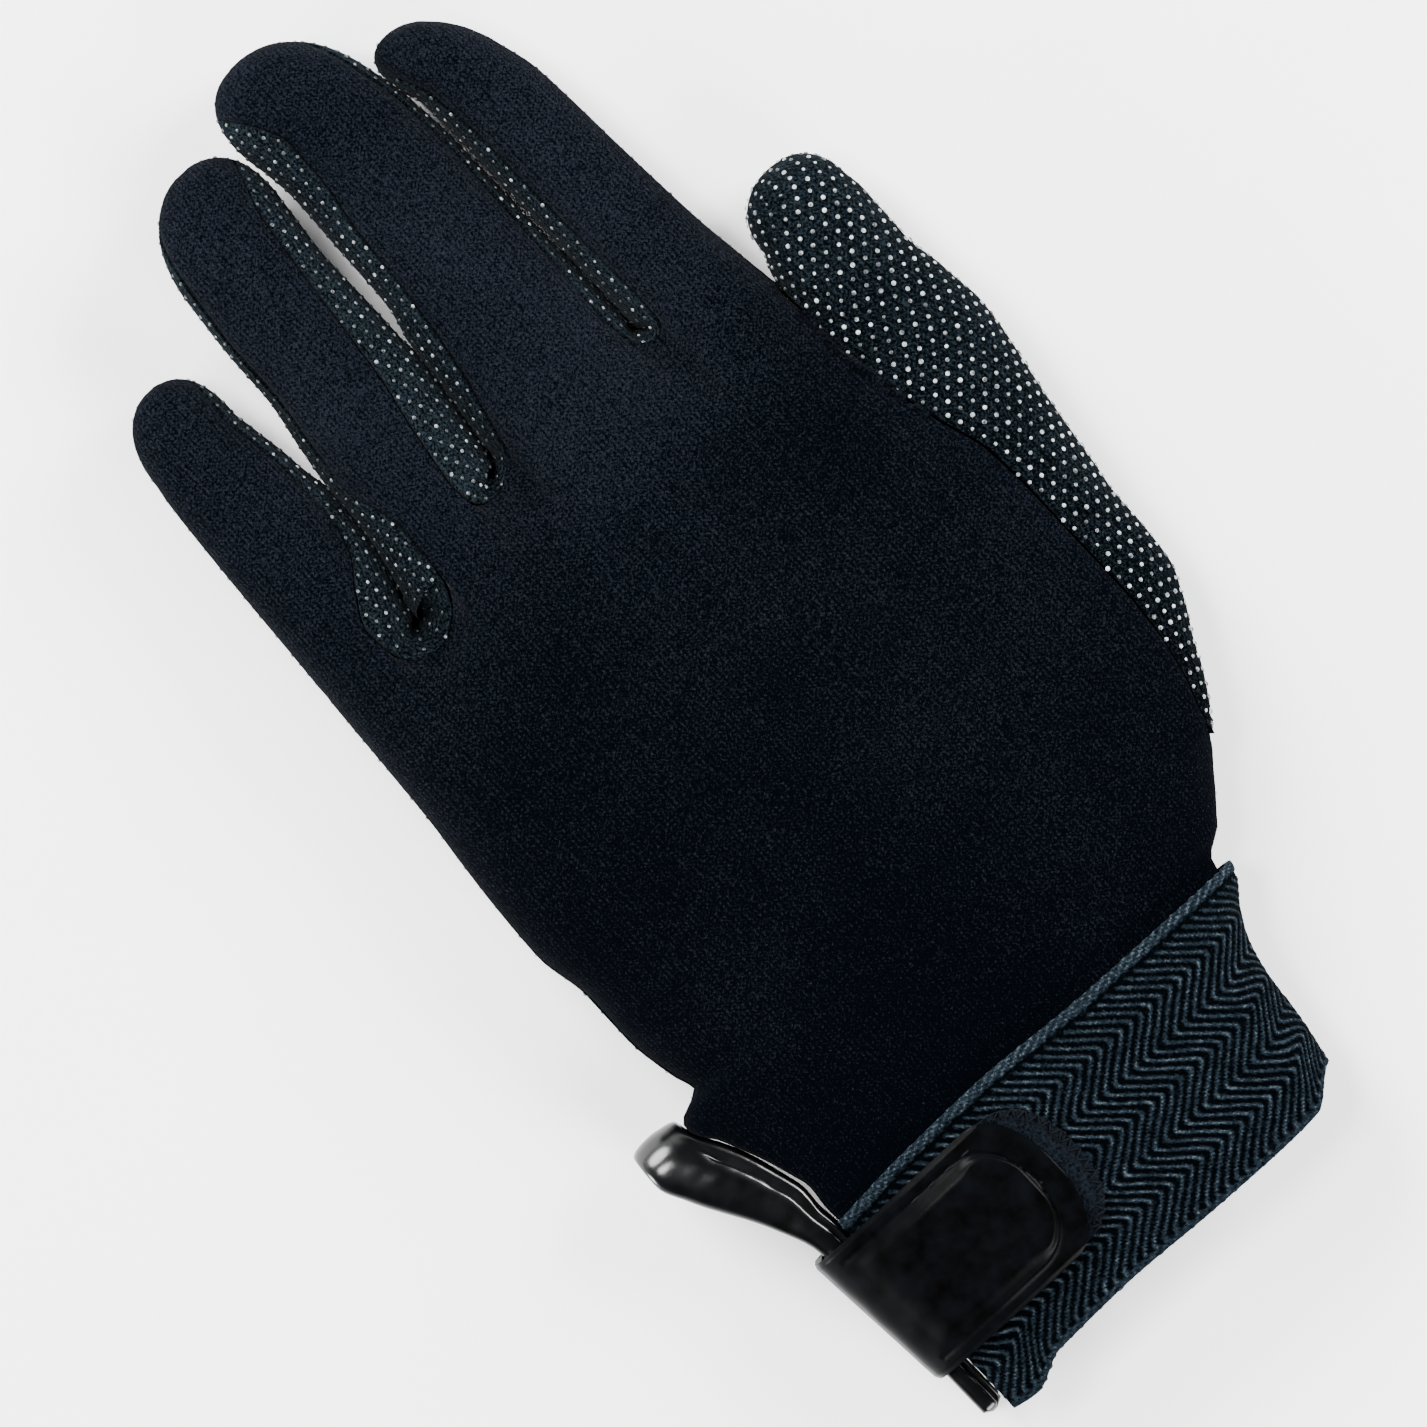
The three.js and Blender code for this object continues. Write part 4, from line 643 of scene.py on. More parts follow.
def hand_sheets(up):
    """Point grids of the back or the palm: the hand with its notches, then four fingers."""
    gap = SEAM_GAP / 2
    top, seam_shift, finger_cols = [], [], []
    for k in range(4):
        row = finger_rows(k, 1, ())[:1]
        a_l, a_r = seam_angles(k, row, up)
        angle = lerp(a_l[:, None], a_r[:, None], np.linspace(0, 1, FINGER_COLS + 1)[None])
        p = finger_point(k, row[:, :1], row[:, 1:], angle)[0]
        shift = np.zeros_like(p)
        for side, col in ((-1, 0), (1, FINGER_COLS)):
            if not (side < 0 and k == 0) and not (side > 0 and k == 3):
                shift[col] = -finger_seam(k, row, side, up)[1][0] * gap
        finger_cols.append(sum(len(x) for x in top))
        top.append(p)
        seam_shift.append(shift)
        if k < 3:
            p, across = crotch_stations(k, CROTCH_COLS)["up" if up else "down"]
            top.append(p)
            seam_shift.append(-across * gap)
    top, shift = np.concatenate(top), np.concatenate(seam_shift)
    cols = len(top) - 1
    left, right = palm_edges(top[:, 1], up)[:2]
    share = even_ends((top[:, 0] - left) / (right - left))
    rest = top - palm_point(top[:, 1], share, up)
    soft = blurred(rest, NOTCH_BLUR)
    steps = np.arange(cols + 1) / cols
    even = (1 - np.cos(math.pi * steps)) / 2
    last_low = LAST_EVEN_ROW * PALM_LENGTH
    low = np.linspace(-CUFF_LAP, last_low, 104)[:, None]
    near = smooth(0.35 * PALM_LENGTH, last_low, low)
    f = lerp(lerp(even, steps, 0.45)[None], share[None], near)
    w = smooth(KNUCKLE_LINE, PALM_LENGTH, low)
    grid = palm_point(np.broadcast_to(low, f.shape), f, up) + rise_to(rest, soft, share, low, w)
    q = np.linspace(0, 1, 22)[1:-1, None]
    y = lerp(last_low, top[None, :, 1], q)
    w = smooth(KNUCKLE_LINE, PALM_LENGTH, lerp(last_low, PALM_LENGTH, q))
    high = (palm_point(y, np.broadcast_to(share[None], y.shape), up)
            + rise_to(rest, soft, share, lerp(last_low, PALM_LENGTH, q), w))
    grid = np.concatenate([grid, high])
    # Seam edges: the side seam, the vent and the thumb seam.
    sign = 1 if up else -1
    for col in (0, -1):
        y = grid[:, col, 1]
        edge = palm_point(y, np.full(len(y), 0.0 if col == 0 else 1.0), up)
        if col == 0:
            in_vent = along(PALM, "y", "lift", y / PALM_LENGTH) > 0.3
            edge[:, 2] += np.where(in_vent, 0, sign * gap)
        else:
            point, across, _ = thumb_seam(y, up)
            in_thumb = palm_edges(y, up)[4]
            edge[:, 2] += np.where(in_thumb, 0, sign * gap)
            edge = np.where(in_thumb[:, None], point - across * gap, edge)
        grid[:, col] = edge
    last = top + shift
    last[0, 2] += sign * gap
    last[-1, 2] += sign * gap
    grid = np.concatenate([grid, last[None]])
    t = np.concatenate([low[:, 0], lerp(last_low, PALM_LENGTH, q[:, 0]), [PALM_LENGTH]])
    cloth = np.stack([grid[..., 0], np.broadcast_to(t[:, None], grid.shape[:2])], axis=-1)
    cloth[len(low):, :, 1] = grid[len(low):, :, 1]
    # The real length across counts only on the two outer sides.
    for side in (slice(0, FINGER_COLS // 2 + 1), slice(cols - FINGER_COLS // 2, cols + 1)):
        part = grid[:, side]
        ds = np.linalg.norm(np.diff(part[..., [0, 2]], axis=1), axis=-1)
        if side.start == 0:
            s = part[:, -1:, 0] - np.concatenate([np.cumsum(ds[:, ::-1], axis=1)[:, ::-1], 0 * ds[:, :1]], axis=1)
        else:
            s = part[:, :1, 0] + np.concatenate([0 * ds[:, :1], np.cumsum(ds, axis=1)], axis=1)
        cloth[:, side, 0] = s
    sheets = [(grid, cloth)]
    for k in range(4):
        rows = finger_rows(k, SHAFT_ROWS, CAP_STEPS)
        a_l, a_r = seam_angles(k, rows, up)
        angle = lerp(a_l[:, None], a_r[:, None], np.linspace(0, 1, FINGER_COLS + 1)[None])
        p = finger_point(k, rows[:, :1], rows[:, 1:], angle)
        for side, col in ((-1, 0), (1, FINGER_COLS)):
            sewn = np.arange(len(rows)) <= GUSSET_ROWS
            if (side < 0 and k == 0) or (side > 0 and k == 3):
                sewn[:] = False
            point, across = finger_seam(k, rows, side, up)
            p[:, col] = np.where(sewn[:, None], point - across * gap, p[:, col] + [0, 0, sign * gap])
        first = finger_cols[k]
        p[0] = grid[-1, first:first + FINGER_COLS + 1]
        tip = np.array([FINGERS[k]["tip"][0] * FINGER_WIDTH, PALM_LENGTH + FINGERS[k]["tip"][1] * FINGER_LENGTH,
                        SEAM_HEIGHT * 0.92 + sign * gap])
        p = np.concatenate([p, np.broadcast_to(tip, p[:1].shape)])
        mid = FINGER_COLS // 2
        run = run_of(p[:, mid])
        t = p[0, mid, 1] + run
        fade = smooth(0, 12, run)
        sheets.append((p, arc_cloth(p, t, fade=fade)))
    return sheets


TOUCH_GAP, TOUCH_END = 0.1, 21.0  # gap between touching gussets, and how far up from the palm they touch


def gusset_sheet(k, cols=16):
    """Grid of the gusset between fingers k and k + 1: down one side, round the notch and up the other side."""
    gap = SEAM_GAP / 2
    a_rows, b_rows = (finger_rows(i, SHAFT_ROWS, CAP_STEPS)[:GUSSET_ROWS + 1] for i in (k, k + 1))
    narrow = smooth(GUSSET_ROWS, GUSSET_ROWS - 8, np.arange(GUSSET_ROWS + 1))[:, None]

    def side_lines(i, rows, side):
        up, down = seam_angles(i, rows, True), seam_angles(i, rows, False)
        start, end = (up[1], down[1]) if side > 0 else (up[0], down[0] + 2 * math.pi)
        angle = lerp(start[:, None], end[:, None], np.linspace(0, 1, cols + 1)[None])
        p = finger_point(i, rows[:, :1], rows[:, 1:], angle)
        for col, is_up in ((0, True), (cols, False)):
            point, across = finger_seam(i, rows, side, is_up)
            p[:, col] = point + across * gap * narrow
        return p

    side_a, side_b = side_lines(k, a_rows, 1), side_lines(k + 1, b_rows, -1)
    # The lower parts of two neighbouring fingers touch each other.
    apart = side_b[..., 0] - side_a[..., 0]
    nearest = apart[:, 2:-2].min(axis=1) - TOUCH_GAP
    touch = smooth(TOUCH_END + 6, TOUCH_END, side_a[:, 0, 1] - PALM_LENGTH) * smooth(4, 1.5, nearest)
    push = (np.maximum(nearest, 0) * touch / 2)[:, None] * np.sin(math.pi * np.linspace(0, 1, cols + 1)) ** 2
    side_a[..., 0] += push
    side_b[..., 0] -= push
    stations = crotch_stations(k, CROTCH_COLS)
    th = math.pi * np.arange(1, CROTCH_COLS) / CROTCH_COLS
    share = ((1 - np.cos(th)) / 2)[:, None]
    start = stations["up"][0] + stations["up"][1] * gap
    end = stations["down"][0] + stations["down"][1] * gap
    j = np.linspace(0, 1, cols + 1)[None, :, None]
    notch = start[:, None] + (end - start)[:, None] * j
    bulges = []
    for line in (side_a[0], side_b[0]):
        chord = line[0] + (line[-1] - line[0]) * j[0]
        bulges.append(line - chord)
    out = lerp(np.abs(bulges[0][:, 0])[None], np.abs(bulges[1][:, 0])[None], share)
    ease = 1 - 0.55 * np.sin(th)[:, None] ** 2
    notch += stations["into"][:, None] * (out * ease)[..., None]
    notch[..., 2] += lerp(bulges[0][:, 2][None], bulges[1][:, 2][None], share) * ease
    points = np.concatenate([side_a[::-1], notch, side_b])
    run = run_of(points[:, cols // 2])
    cloth = arc_cloth(points, run)
    cloth[..., 0] -= cloth[:, cols // 2:cols // 2 + 1, 0]
    return points, cloth


def thumb_sheets(cols=72):
    """Grids of the thumb: open rows along the hand, closed rings round its free end."""
    gap = SEAM_GAP / 2
    y = np.linspace(THUMB_END, THUMB_CROTCH, 120)
    top, bottom = thumb_seam(y, True), thumb_seam(y, False)
    angle = lerp(top[2][:, None], bottom[2][:, None], np.linspace(0, 1, cols + 1)[None])
    grid = thumb_point(np.broadcast_to(y[:, None], angle.shape), angle)
    grid[:, 0] = top[0] + top[1] * gap
    grid[:, -1] = bottom[0] + bottom[1] * gap
    cap = (THUMB_TIP_Y - THUMB_CAP) * PALM_LENGTH
    y2 = np.concatenate([np.linspace(THUMB_CROTCH + SEAM_GAP, cap, 8),
                         cap + np.array([0.12, 0.24, 0.36, 0.47, 0.57, 0.66, 0.74, 0.81, 0.87, 0.92, 0.96, 0.985])
                         * THUMB_CAP * PALM_LENGTH])
    angle = np.linspace(math.pi, -math.pi, cols + 1)[None] + 0 * y2[:, None]
    ring = thumb_point(np.broadcast_to(y2[:, None], angle.shape), angle)
    tip = np.array([THUMB_TIP_X * PALM_WIDTH, THUMB_TIP_Y * PALM_LENGTH, SEAM_HEIGHT])
    points = np.concatenate([grid, ring, np.broadcast_to(tip, ring[:1].shape)])
    mid = cols // 2
    run = run_of(points[:, mid])
    cloth = arc_cloth(points, run)
    cloth[..., 0] -= cloth[:, mid:mid + 1, 0]
    return points, cloth


# Elastic, patch and strap

def cuff_sheet(cols, rows):
    u = np.linspace(0, 1, cols + 1)[None]
    v = np.linspace(0, 1, rows + 1)[:, None]
    u, v = np.broadcast_arrays(u, v)
    across = np.where(u <= 0.5, u * 2, 2 - u * 2)
    # More even than the part's own steps, so that the cords of the elastic are cut alike all round.
    f = lerp((1 - np.cos(across * math.pi)) / 2, across, 0.55)
    f = np.where(across > 0.999999, 1.0, f)
    x = lerp(VENT_X, along(CUFF, "v", "right", v) * CUFF_GIRTH, f)
    z = np.where(u <= 0.5, cuff_section(x, v, 0, True)[0], cuff_section(x, v, 0, False)[0])
    z = np.where(across > 0.999999, SEAM_HEIGHT + 1.5, z)
    lift = 0.1 * CUFF_WIDTH * smooth(0.9, 1, f) * v
    top = along(CUFF_EDGE, "x", "top", f) * CUFF_WIDTH
    hem = -CUFF_WIDTH - along(CUFF_EDGE, "x", "hem", f) * CUFF_WIDTH
    return np.stack([x, lerp(top, hem, v) + lift, z], axis=-1), v


def even_columns(points, count):
    """The same rows with their points spaced evenly along each row."""
    out = np.empty((points.shape[0], count + 1, 3))
    for i, row in enumerate(points):
        run = run_of(row)
        at = np.linspace(0, run[-1], count + 1)
        for axis in range(3):
            out[i, :, axis] = np.interp(at, run, row[:, axis])
    return out


CORD_START = 8.9  # the first point of the herringbone below the elastic's top edge
BRAID_WIDTH, PLAIT_PITCH = 2.3, 2.3  # of the selvedge braid


def zigzag(s, y, pitch, period, start):
    """Phase of the elastic's herringbone cords at s across and y below the top edge, 0 to 1 from cord to cord."""
    slope, roundness = 1.25, 0.975
    fold = 1 - np.arccos(roundness * np.cos(math.pi * (y - start) / period)) / math.pi
    return (s - fold * period * slope) / pitch


def catmull_rom(points, count):
    """Centripetal curve through points, sampled count times from end to end."""
    p = np.array(points, float)
    p = np.concatenate([[2 * p[0] - p[1]], p, [2 * p[-1] - p[-2]]])
    out = []
    spans = len(p) - 3
    for at in np.linspace(0, spans, count):
        i = min(int(at), spans - 1)
        t = at - i
        q = p[i:i + 4]
        d = np.maximum(np.linalg.norm(np.diff(q, axis=0), axis=1) ** 0.5, 1e-4)
        t0, t1, t2, t3 = 0.0, d[0], d[0] + d[1], d.sum()
        u = lerp(t1, t2, t)
        a1 = lerp(q[0], q[1], (u - t0) / (t1 - t0))
        a2 = lerp(q[1], q[2], (u - t1) / (t2 - t1))
        a3 = lerp(q[2], q[3], (u - t2) / (t3 - t2))
        b1, b2 = lerp(a1, a2, (u - t0) / (t2 - t0)), lerp(a2, a3, (u - t1) / (t3 - t1))
        out.append(lerp(b1, b2, (u - t1) / (t2 - t1)))
    return np.array(out)


def on_cuff(x, y):
    return cuff_section(np.maximum(x, VENT_X), -y / CUFF_WIDTH, 0, True)[0]


def strap_path(count):
    v = -STRAP_MID / CUFF_WIDTH
    end, half = FOLD_X + STRAP_REACH, STRAP_WALL / 2
    pts = []
    for s in (1, 0.66, 0.33, 0.08):
        x = VENT_X + s * STRAP_TUCK
        pts.append((x, float(cuff_section(x, v, 0, False)[0]) - LAYER_GAP - half))
    bend = FOLD_X + half
    low = SEAM_HEIGHT - VENT_HEIGHT / 2 - BINDING_WALL / 2
    high = SEAM_HEIGHT + VENT_HEIGHT / 2 + BINDING_WALL / 2
    pts += [(lerp(VENT_X, bend, 0.5), low * 0.36), (lerp(VENT_X, bend, 0.93), low * 0.95),
            (bend, lerp(low, high, 0.4)), (bend, lerp(low, high, 0.8)), (lerp(VENT_X, bend, 0.82), high + 1.6)]
    for s in (0.16, 0.3, 0.45, 0.6, 0.74, 0.86, 0.94, 1):
        x = lerp(FOLD_X, end, s)
        under = float(cuff_section(max(x, VENT_X), v, 0, True)[0])
        pts.append((x, under + 2 * LAYER_GAP + PATCH_WALL + half))
    return catmull_rom([(x, 0, z) for x, z in pts], count)


ROUND_END = 0.3  # length of the strap's round end, as a share of its width
STRAP_STEPS, STRAP_ROWS = 230, 84
STITCH_FROM, STITCH_TO = -31.5, -19.0
PAD_END, PAD_SIDE, PAD_ROUND = 4.6, 3.2, 0.32  # from the round end, from the long edges, and its rounding


def strap_sheet():
    """Grid of the strap's outer face, its cloth coordinates, its normals, its end and the rows on the back."""
    path = strap_path(STRAP_STEPS * 8)
    run = run_of(path)
    at = np.linspace(0, run[-1], STRAP_STEPS + 1)
    # The round end gets closer steps, so that its edge is smooth.
    at = run[-1] * (1 - (1 - at / run[-1]) ** 1.5)
    path = np.stack([np.interp(at, run, path[:, i]) for i in range(3)], axis=-1)
    end = path[-1, 0]
    tangent = unit(np.gradient(path, axis=0))
    normal = np.stack([-tangent[:, 2], 0 * at, tangent[:, 0]], axis=-1)
    over = at > at[-1] * 0.55
    cap = ROUND_END * STRAP_WIDTH
    t = np.where(over, np.clip((path[:, 0] - (end - cap)) / cap, 0, 1), 0)
    half = (STRAP_WIDTH / 2) * np.maximum(1 - t**2.2, 1e-4) ** (1 / 2.2)
    lean = 0.075 * smooth(FOLD_X + 12, FOLD_X, path[:, 0])
    r = np.linspace(-1, 1, STRAP_ROWS + 1)
    r = r * (1.06 - 0.06 * r * r)
    y = STRAP_MID - half[:, None] * r[None]
    shift = lean[:, None] * (STRAP_MID + STRAP_WIDTH / 2 - y)
    settle = np.where(over, smooth(FOLD_X + 4, FOLD_X + 12, path[:, 0]), 0)[:, None]
    x = path[:, :1] + 0 * y
    z = path[:, 2:] + settle * (on_cuff(x, y) - on_cuff(x, STRAP_MID))
    points = np.stack([x + shift, y, z], axis=-1) + normal[:, None] * STRAP_WALL / 2
    cloth = np.stack([at[:, None] + 0 * y, y], axis=-1)
    return points, cloth, normal, end, over


def patch_sheet(cols=70, rows=60):
    left, right = VENT_X + 2, FOLD_X + STRAP_REACH + PATCH_MARGIN
    high, low = STRAP_MID + STRAP_WIDTH / 2 - 0.8, STRAP_MID - STRAP_WIDTH / 2 + 0.6
    x = lerp(left, right, np.sin(np.linspace(0, 1, cols + 1) * math.pi / 2))[:, None]
    t = np.clip((x - (right - 10)) / 10, 0, 0.998)
    half = (high - low) / 2 * (1 - t**2.3) ** (1 / 2.3)
    y = (high + low) / 2 + half * np.linspace(1, -1, rows + 1)[None]
    x = x + 0 * y
    z = cuff_section(x, -y / CUFF_WIDTH, 0, True)[0] + LAYER_GAP + PATCH_WALL
    return np.stack([x, y, z], axis=-1), np.stack([x, y], axis=-1)


TURN_START = 0.196 * PALM_LENGTH + CUFF_WIDTH - 0.4  # length of the binding below its turn


def binding_sheet(sides=64, steps=170):
    """Grid of the bound vent: a soft roll up the back's edge, over the slit's top and down the palm's edge."""
    half, turn_y = VENT_HEIGHT / 2, 0.196 * PALM_LENGTH
    hem = -CUFF_WIDTH + 0.4
    straight = turn_y - hem
    bend = math.pi * half
    s = np.linspace(0, 2 * straight + bend, steps + 1)
    a = np.clip((s - straight) / half, 0, math.pi)
    y = np.where(s < straight, hem + s, np.where(s > straight + bend, turn_y - (s - straight - bend),
                                                 turn_y + half * np.sin(a)))
    z = SEAM_HEIGHT + half * np.cos(a) - np.sign(np.cos(a)) * 0.2 * smooth(0, -CUFF_WIDTH, y)
    ty, tz = np.cos(a), -np.sin(a)
    wider = near_vent_top(y)
    x = along(VENT, "y", "x", y / PALM_LENGTH) * PALM_WIDTH + 0.6 * wider
    w = along(VENT, "y", "w", y / PALM_LENGTH) * BINDING_WIDTH + 1.4 * wider
    ring = np.linspace(0, 2 * math.pi, sides + 1)[None]
    close = np.minimum(1, np.sqrt(np.clip(np.minimum(s, s[-1] - s) / 0.8, 0.02, 1)))[:, None]
    px = x[:, None] + (w[:, None] / 2) * close * sup(np.cos(ring), 0.75)
    rise = (BINDING_WALL / 2) * close * sup(np.sin(ring), 0.8)
    points = np.stack([px, y[:, None] - tz[:, None] * rise, z[:, None] + ty[:, None] * rise], axis=-1)
    cloth = np.stack([ring * 2.4 + 0 * px, s[:, None] + 0 * px], axis=-1)
    return points, cloth, s


# Materials

MATT_CLOTH = {"Roughness": 1.0, "Sheen Weight": 0.01, "Sheen Roughness": 0.4, "Specular IOR Level": 0.0}


def linear(code):
    """Linear colour from an sRGB hex value."""
    out = []
    for i in (1, 3, 5):
        c = int(code[i:i + 2], 16) / 255
        out.append(c / 12.92 if c <= 0.04045 else ((c + 0.055) / 1.055) ** 2.4)
    return (*out, 1.0)


def add(tree, kind, ins=(), stops=(), **sets):
    """Adds one node with its settings, its ramp's stops and its inputs, which are values, sockets or nodes."""
    n = tree.nodes.new("ShaderNode" + kind)
    for key, value in sets.items():
        setattr(n, key, value)
    for i, (at, colour) in enumerate(stops):
        e = n.color_ramp.elements[i] if i < 2 else n.color_ramp.elements.new(at)
        e.position, e.color = at, colour
    for key, value in (ins if isinstance(ins, dict) else dict(enumerate(ins))).items():
        if isinstance(value, bpy.types.Node):
            value = value.outputs[0]
        if isinstance(value, bpy.types.NodeSocket):
            tree.links.new(value, n.inputs[key])
        else:
            n.inputs[key].default_value = value
    return n


def new_material(name):
    material = bpy.data.materials.new(name)
    material.use_nodes = True
    material.node_tree.nodes.clear()
    return material, material.node_tree


def surface(tree, ins):
    """Adds the material's shader with its inputs, and its output."""
    add(tree, "OutputMaterial", [add(tree, "BsdfPrincipled", ins)])


def cloth_mm(tree):
    """The cloth's own coordinates in millimetres."""
    return add(tree, "VectorMath", {0: add(tree, "UVMap", uv_map="cloth"), "Scale": 1000.0}, operation="SCALE")


def object_mm(tree):
    """Object coordinates in millimetres."""
    at = add(tree, "TexCoord").outputs["Object"]
    return add(tree, "VectorMath", {0: at, "Scale": 1000.0}, operation="SCALE")


def knit_height(tree, wale, course):
    """Fine jersey knit: rows of V stitches, wale apart across and course apart along, millimetres."""
    xyz = add(tree, "SeparateXYZ", [cloth_mm(tree)])
    rib = add(tree, "Math", [xyz, wale / 2], operation="PINGPONG")
    slant = add(tree, "Math", [rib, 1.4, xyz.outputs[1]], operation="MULTIPLY_ADD")
    turn = add(tree, "Math", [slant, 2 * math.pi / course], operation="MULTIPLY")
    wave = add(tree, "Math", [turn], operation="SINE")
    ribs = add(tree, "Math", [rib, 1.2 / wale], operation="MULTIPLY")
    return add(tree, "Math", [wave, 0.25, ribs], operation="MULTIPLY_ADD")


def cloth_material(name, dark, light, wale, course):
    """Matt knitted cloth: dark loops with lighter fibre specks that stand out one by one."""
    material, tree = new_material(name)
    at = object_mm(tree)
    knit = knit_height(tree, wale, course)
    fuzz = add(tree, "TexNoise", {"Vector": at, "Scale": 2.3, "Detail": 4.0, "Roughness": 0.75})
    blotch = add(tree, "TexNoise", {"Vector": at, "Scale": 0.018, "Detail": 3.0})
    tone = add(tree, "Math", [knit, 0.12, fuzz], operation="MULTIPLY_ADD")
    tone = add(tree, "Math", [blotch, 0.22, tone], operation="MULTIPLY_ADD")
    # Painted light: the tone grows lighter towards the fingertips, standing in for the light that falls from
    # beyond the fingers.
    tip_light_mask = add(tree, "SeparateXYZ", [at]).outputs[1]
    tone = add(tree, "Math", [tip_light_mask, 0.0007, tone], operation="MULTIPLY_ADD")
    colour = add(tree, "ValToRGB", [tone], [(0.64, dark), (0.91, light)])
    stitches = add(tree, "Math", [knit, 0.5], operation="MULTIPLY")
    rise = add(tree, "Math", [fuzz, 1.3, stitches], operation="MULTIPLY_ADD")
    bump = add(tree, "Bump", {"Strength": 0.6, "Distance": 0.00025, "Height": rise})
    surface(tree, {**MATT_CLOTH, "Sheen Weight": 0.012, "Base Color": colour, "Normal": bump})
    return material


def jersey_material(name, colours):
    # Cotton and elastane jersey, knitted and brushed: near black and matt. The real wales are nearer 0.5 mm,
    # too fine for the picture, so they are drawn at 0.9.
    return cloth_material(name, colours.jersey_dark[:], colours.jersey_light[:], 0.9, 0.75)


def grip_material(name, colours):
    # Knitted cotton with an open face, the ground of the dotted grip: near black between the dots. The real wales
    # are finer too, and are drawn at 1.1.
    return cloth_material(name, colours.grip_dark[:], colours.grip_light[:], 1.1, 0.9)


def dot_material(name, colours, gusset_shade):
    # Soft PVC, printed as paste and cured: small glossy domes. Their pale grey, in patches set by noise, is a
    # painted highlight that stands in for the glints of light on the domes.
    material, tree = new_material(name)
    at = object_mm(tree)
    # Painted highlight: the noise picks the patches of pale dots that stand in for the glints on the domes.
    spots = add(tree, "TexNoise", {"Vector": at, "Scale": 0.3, "Detail": 4.0, "Roughness": 0.75})
    # Painted shade: for the gussets the ramp moves up, so their dots are darker, standing in for the shade between
    # the fingers.
    stops = [(0.43 + gusset_shade, colours.dot_dark[:]), (0.66 + gusset_shade, colours.dot_painted_highlight[:])]
    fine = add(tree, "TexNoise", {"Vector": at, "Scale": 3.0, "Detail": 2.0})
    bump = add(tree, "Bump", {"Strength": 0.3, "Distance": 0.0001, "Height": fine})
    surface(tree, {"Roughness": 0.4, "IOR": 1.53, "Specular IOR Level": 0.35, "Normal": bump,
                   "Base Color": add(tree, "ValToRGB", [spots], stops)})
    return material


def elastic_material(name, colours):
    # Woven elastic, polyester over rubber: grey twisted cords in a herringbone on a black ground.
    material, tree = new_material(name)
    fibre = add(tree, "TexNoise", {"Vector": object_mm(tree), "Scale": 1.9, "Detail": 4.0, "Roughness": 0.8})
    cord = add(tree, "Attribute", attribute_name="cord").outputs["Fac"]
    tone = add(tree, "Math", [cord, 0.42, fibre], operation="MULTIPLY_ADD")
    colour = add(tree, "ValToRGB", [tone], [(0.58, colours.elastic_dark[:]), (0.84, colours.elastic_mid[:]),
                                            (1.0, colours.elastic_light[:])])
    xyz = add(tree, "SeparateXYZ", [cloth_mm(tree)])
    slant = add(tree, "Math", [xyz, xyz.outputs[1]], operation="ADD")
    turn = add(tree, "Math", [slant, 2 * math.pi / 0.9], operation="MULTIPLY")
    twist = add(tree, "Math", [turn], operation="SINE")
    rise = add(tree, "Math", [twist, 0.2, fibre], operation="MULTIPLY_ADD")
    bump = add(tree, "Bump", {"Strength": 0.7, "Distance": 0.0003, "Height": rise})
    surface(tree, {**MATT_CLOTH, "Base Color": colour, "Normal": bump})
    return material


def loop_material(name, colours):
    # Nylon loop pile, woven and brushed: a black mat of tiny loops.
    material, tree = new_material(name)
    at = object_mm(tree)
    pile = add(tree, "TexVoronoi", {"Vector": at, "Scale": 1.5, "Randomness": 1.0}).outputs["Distance"]
    fuzz = add(tree, "TexNoise", {"Vector": at, "Scale": 2.0, "Detail": 4.0})
    tone = add(tree, "Math", [pile, 0.5, fuzz], operation="MULTIPLY_ADD")
    colour = add(tree, "ValToRGB", [tone], [(0.4, colours.loop_dark[:]), (1.0, colours.loop_light[:])])
    bump = add(tree, "Bump", {"Strength": 0.9, "Distance": 0.0005, "Height": tone})
    surface(tree, {**MATT_CLOTH, "Base Color": colour, "Normal": bump})
    return material


def coated_material(name, colours, gloss, roughness):
    # Polyurethane leather, coated on cloth and embossed: black with a fine soft grain, glossier on the binding.
    material, tree = new_material(name)
    at = object_mm(tree)
    grain = add(tree, "TexNoise", {"Vector": at, "Scale": 1.3, "Detail": 2.0, "Roughness": 0.4})
    soft = add(tree, "TexNoise", {"Vector": at, "Scale": 0.3, "Detail": 3.0})
    colour = add(tree, "ValToRGB", [soft], [(0.3, colours.coated_dark[:]), (0.75, colours.coated_light[:])])
    rough = add(tree, "Math", [soft, 0.05, roughness], operation="MULTIPLY_ADD")
    bump = add(tree, "Bump", {"Strength": 0.07, "Distance": 0.00014, "Height": grain})
    surface(tree, {"IOR": 1.5, "Specular IOR Level": gloss, "Roughness": rough, "Base Color": colour,
                   "Normal": bump})
    return material


def thread_material(name, colours):
    # Polyester sewing thread, twisted: black with a faint gloss along it.
    material, tree = new_material(name)
    twist = add(tree, "TexWave", {"Vector": object_mm(tree), "Scale": 1.2, "Distortion": 1.0})
    colour = add(tree, "ValToRGB", [twist], [(0.2, colours.thread_dark[:]), (0.9, colours.thread_light[:])])
    bump = add(tree, "Bump", {"Strength": 0.4, "Distance": 0.0001, "Height": twist})
    surface(tree, {"Roughness": 0.7, "Specular IOR Level": 0.05, "Base Color": colour, "Normal": bump})
    return material


def floor_material(name, colours):
    # White painted board: matt, with the faintest mottle.
    material, tree = new_material(name)
    spots = add(tree, "TexNoise", {"Vector": object_mm(tree), "Scale": 0.02, "Detail": 3.0})
    colour = add(tree, "ValToRGB", [spots], [(0.0, colours.floor[:]), (1.0, linear("#ffffff"))])
    surface(tree, {"Roughness": 0.8, "Specular IOR Level": 0.2, "Base Color": colour})
    return material


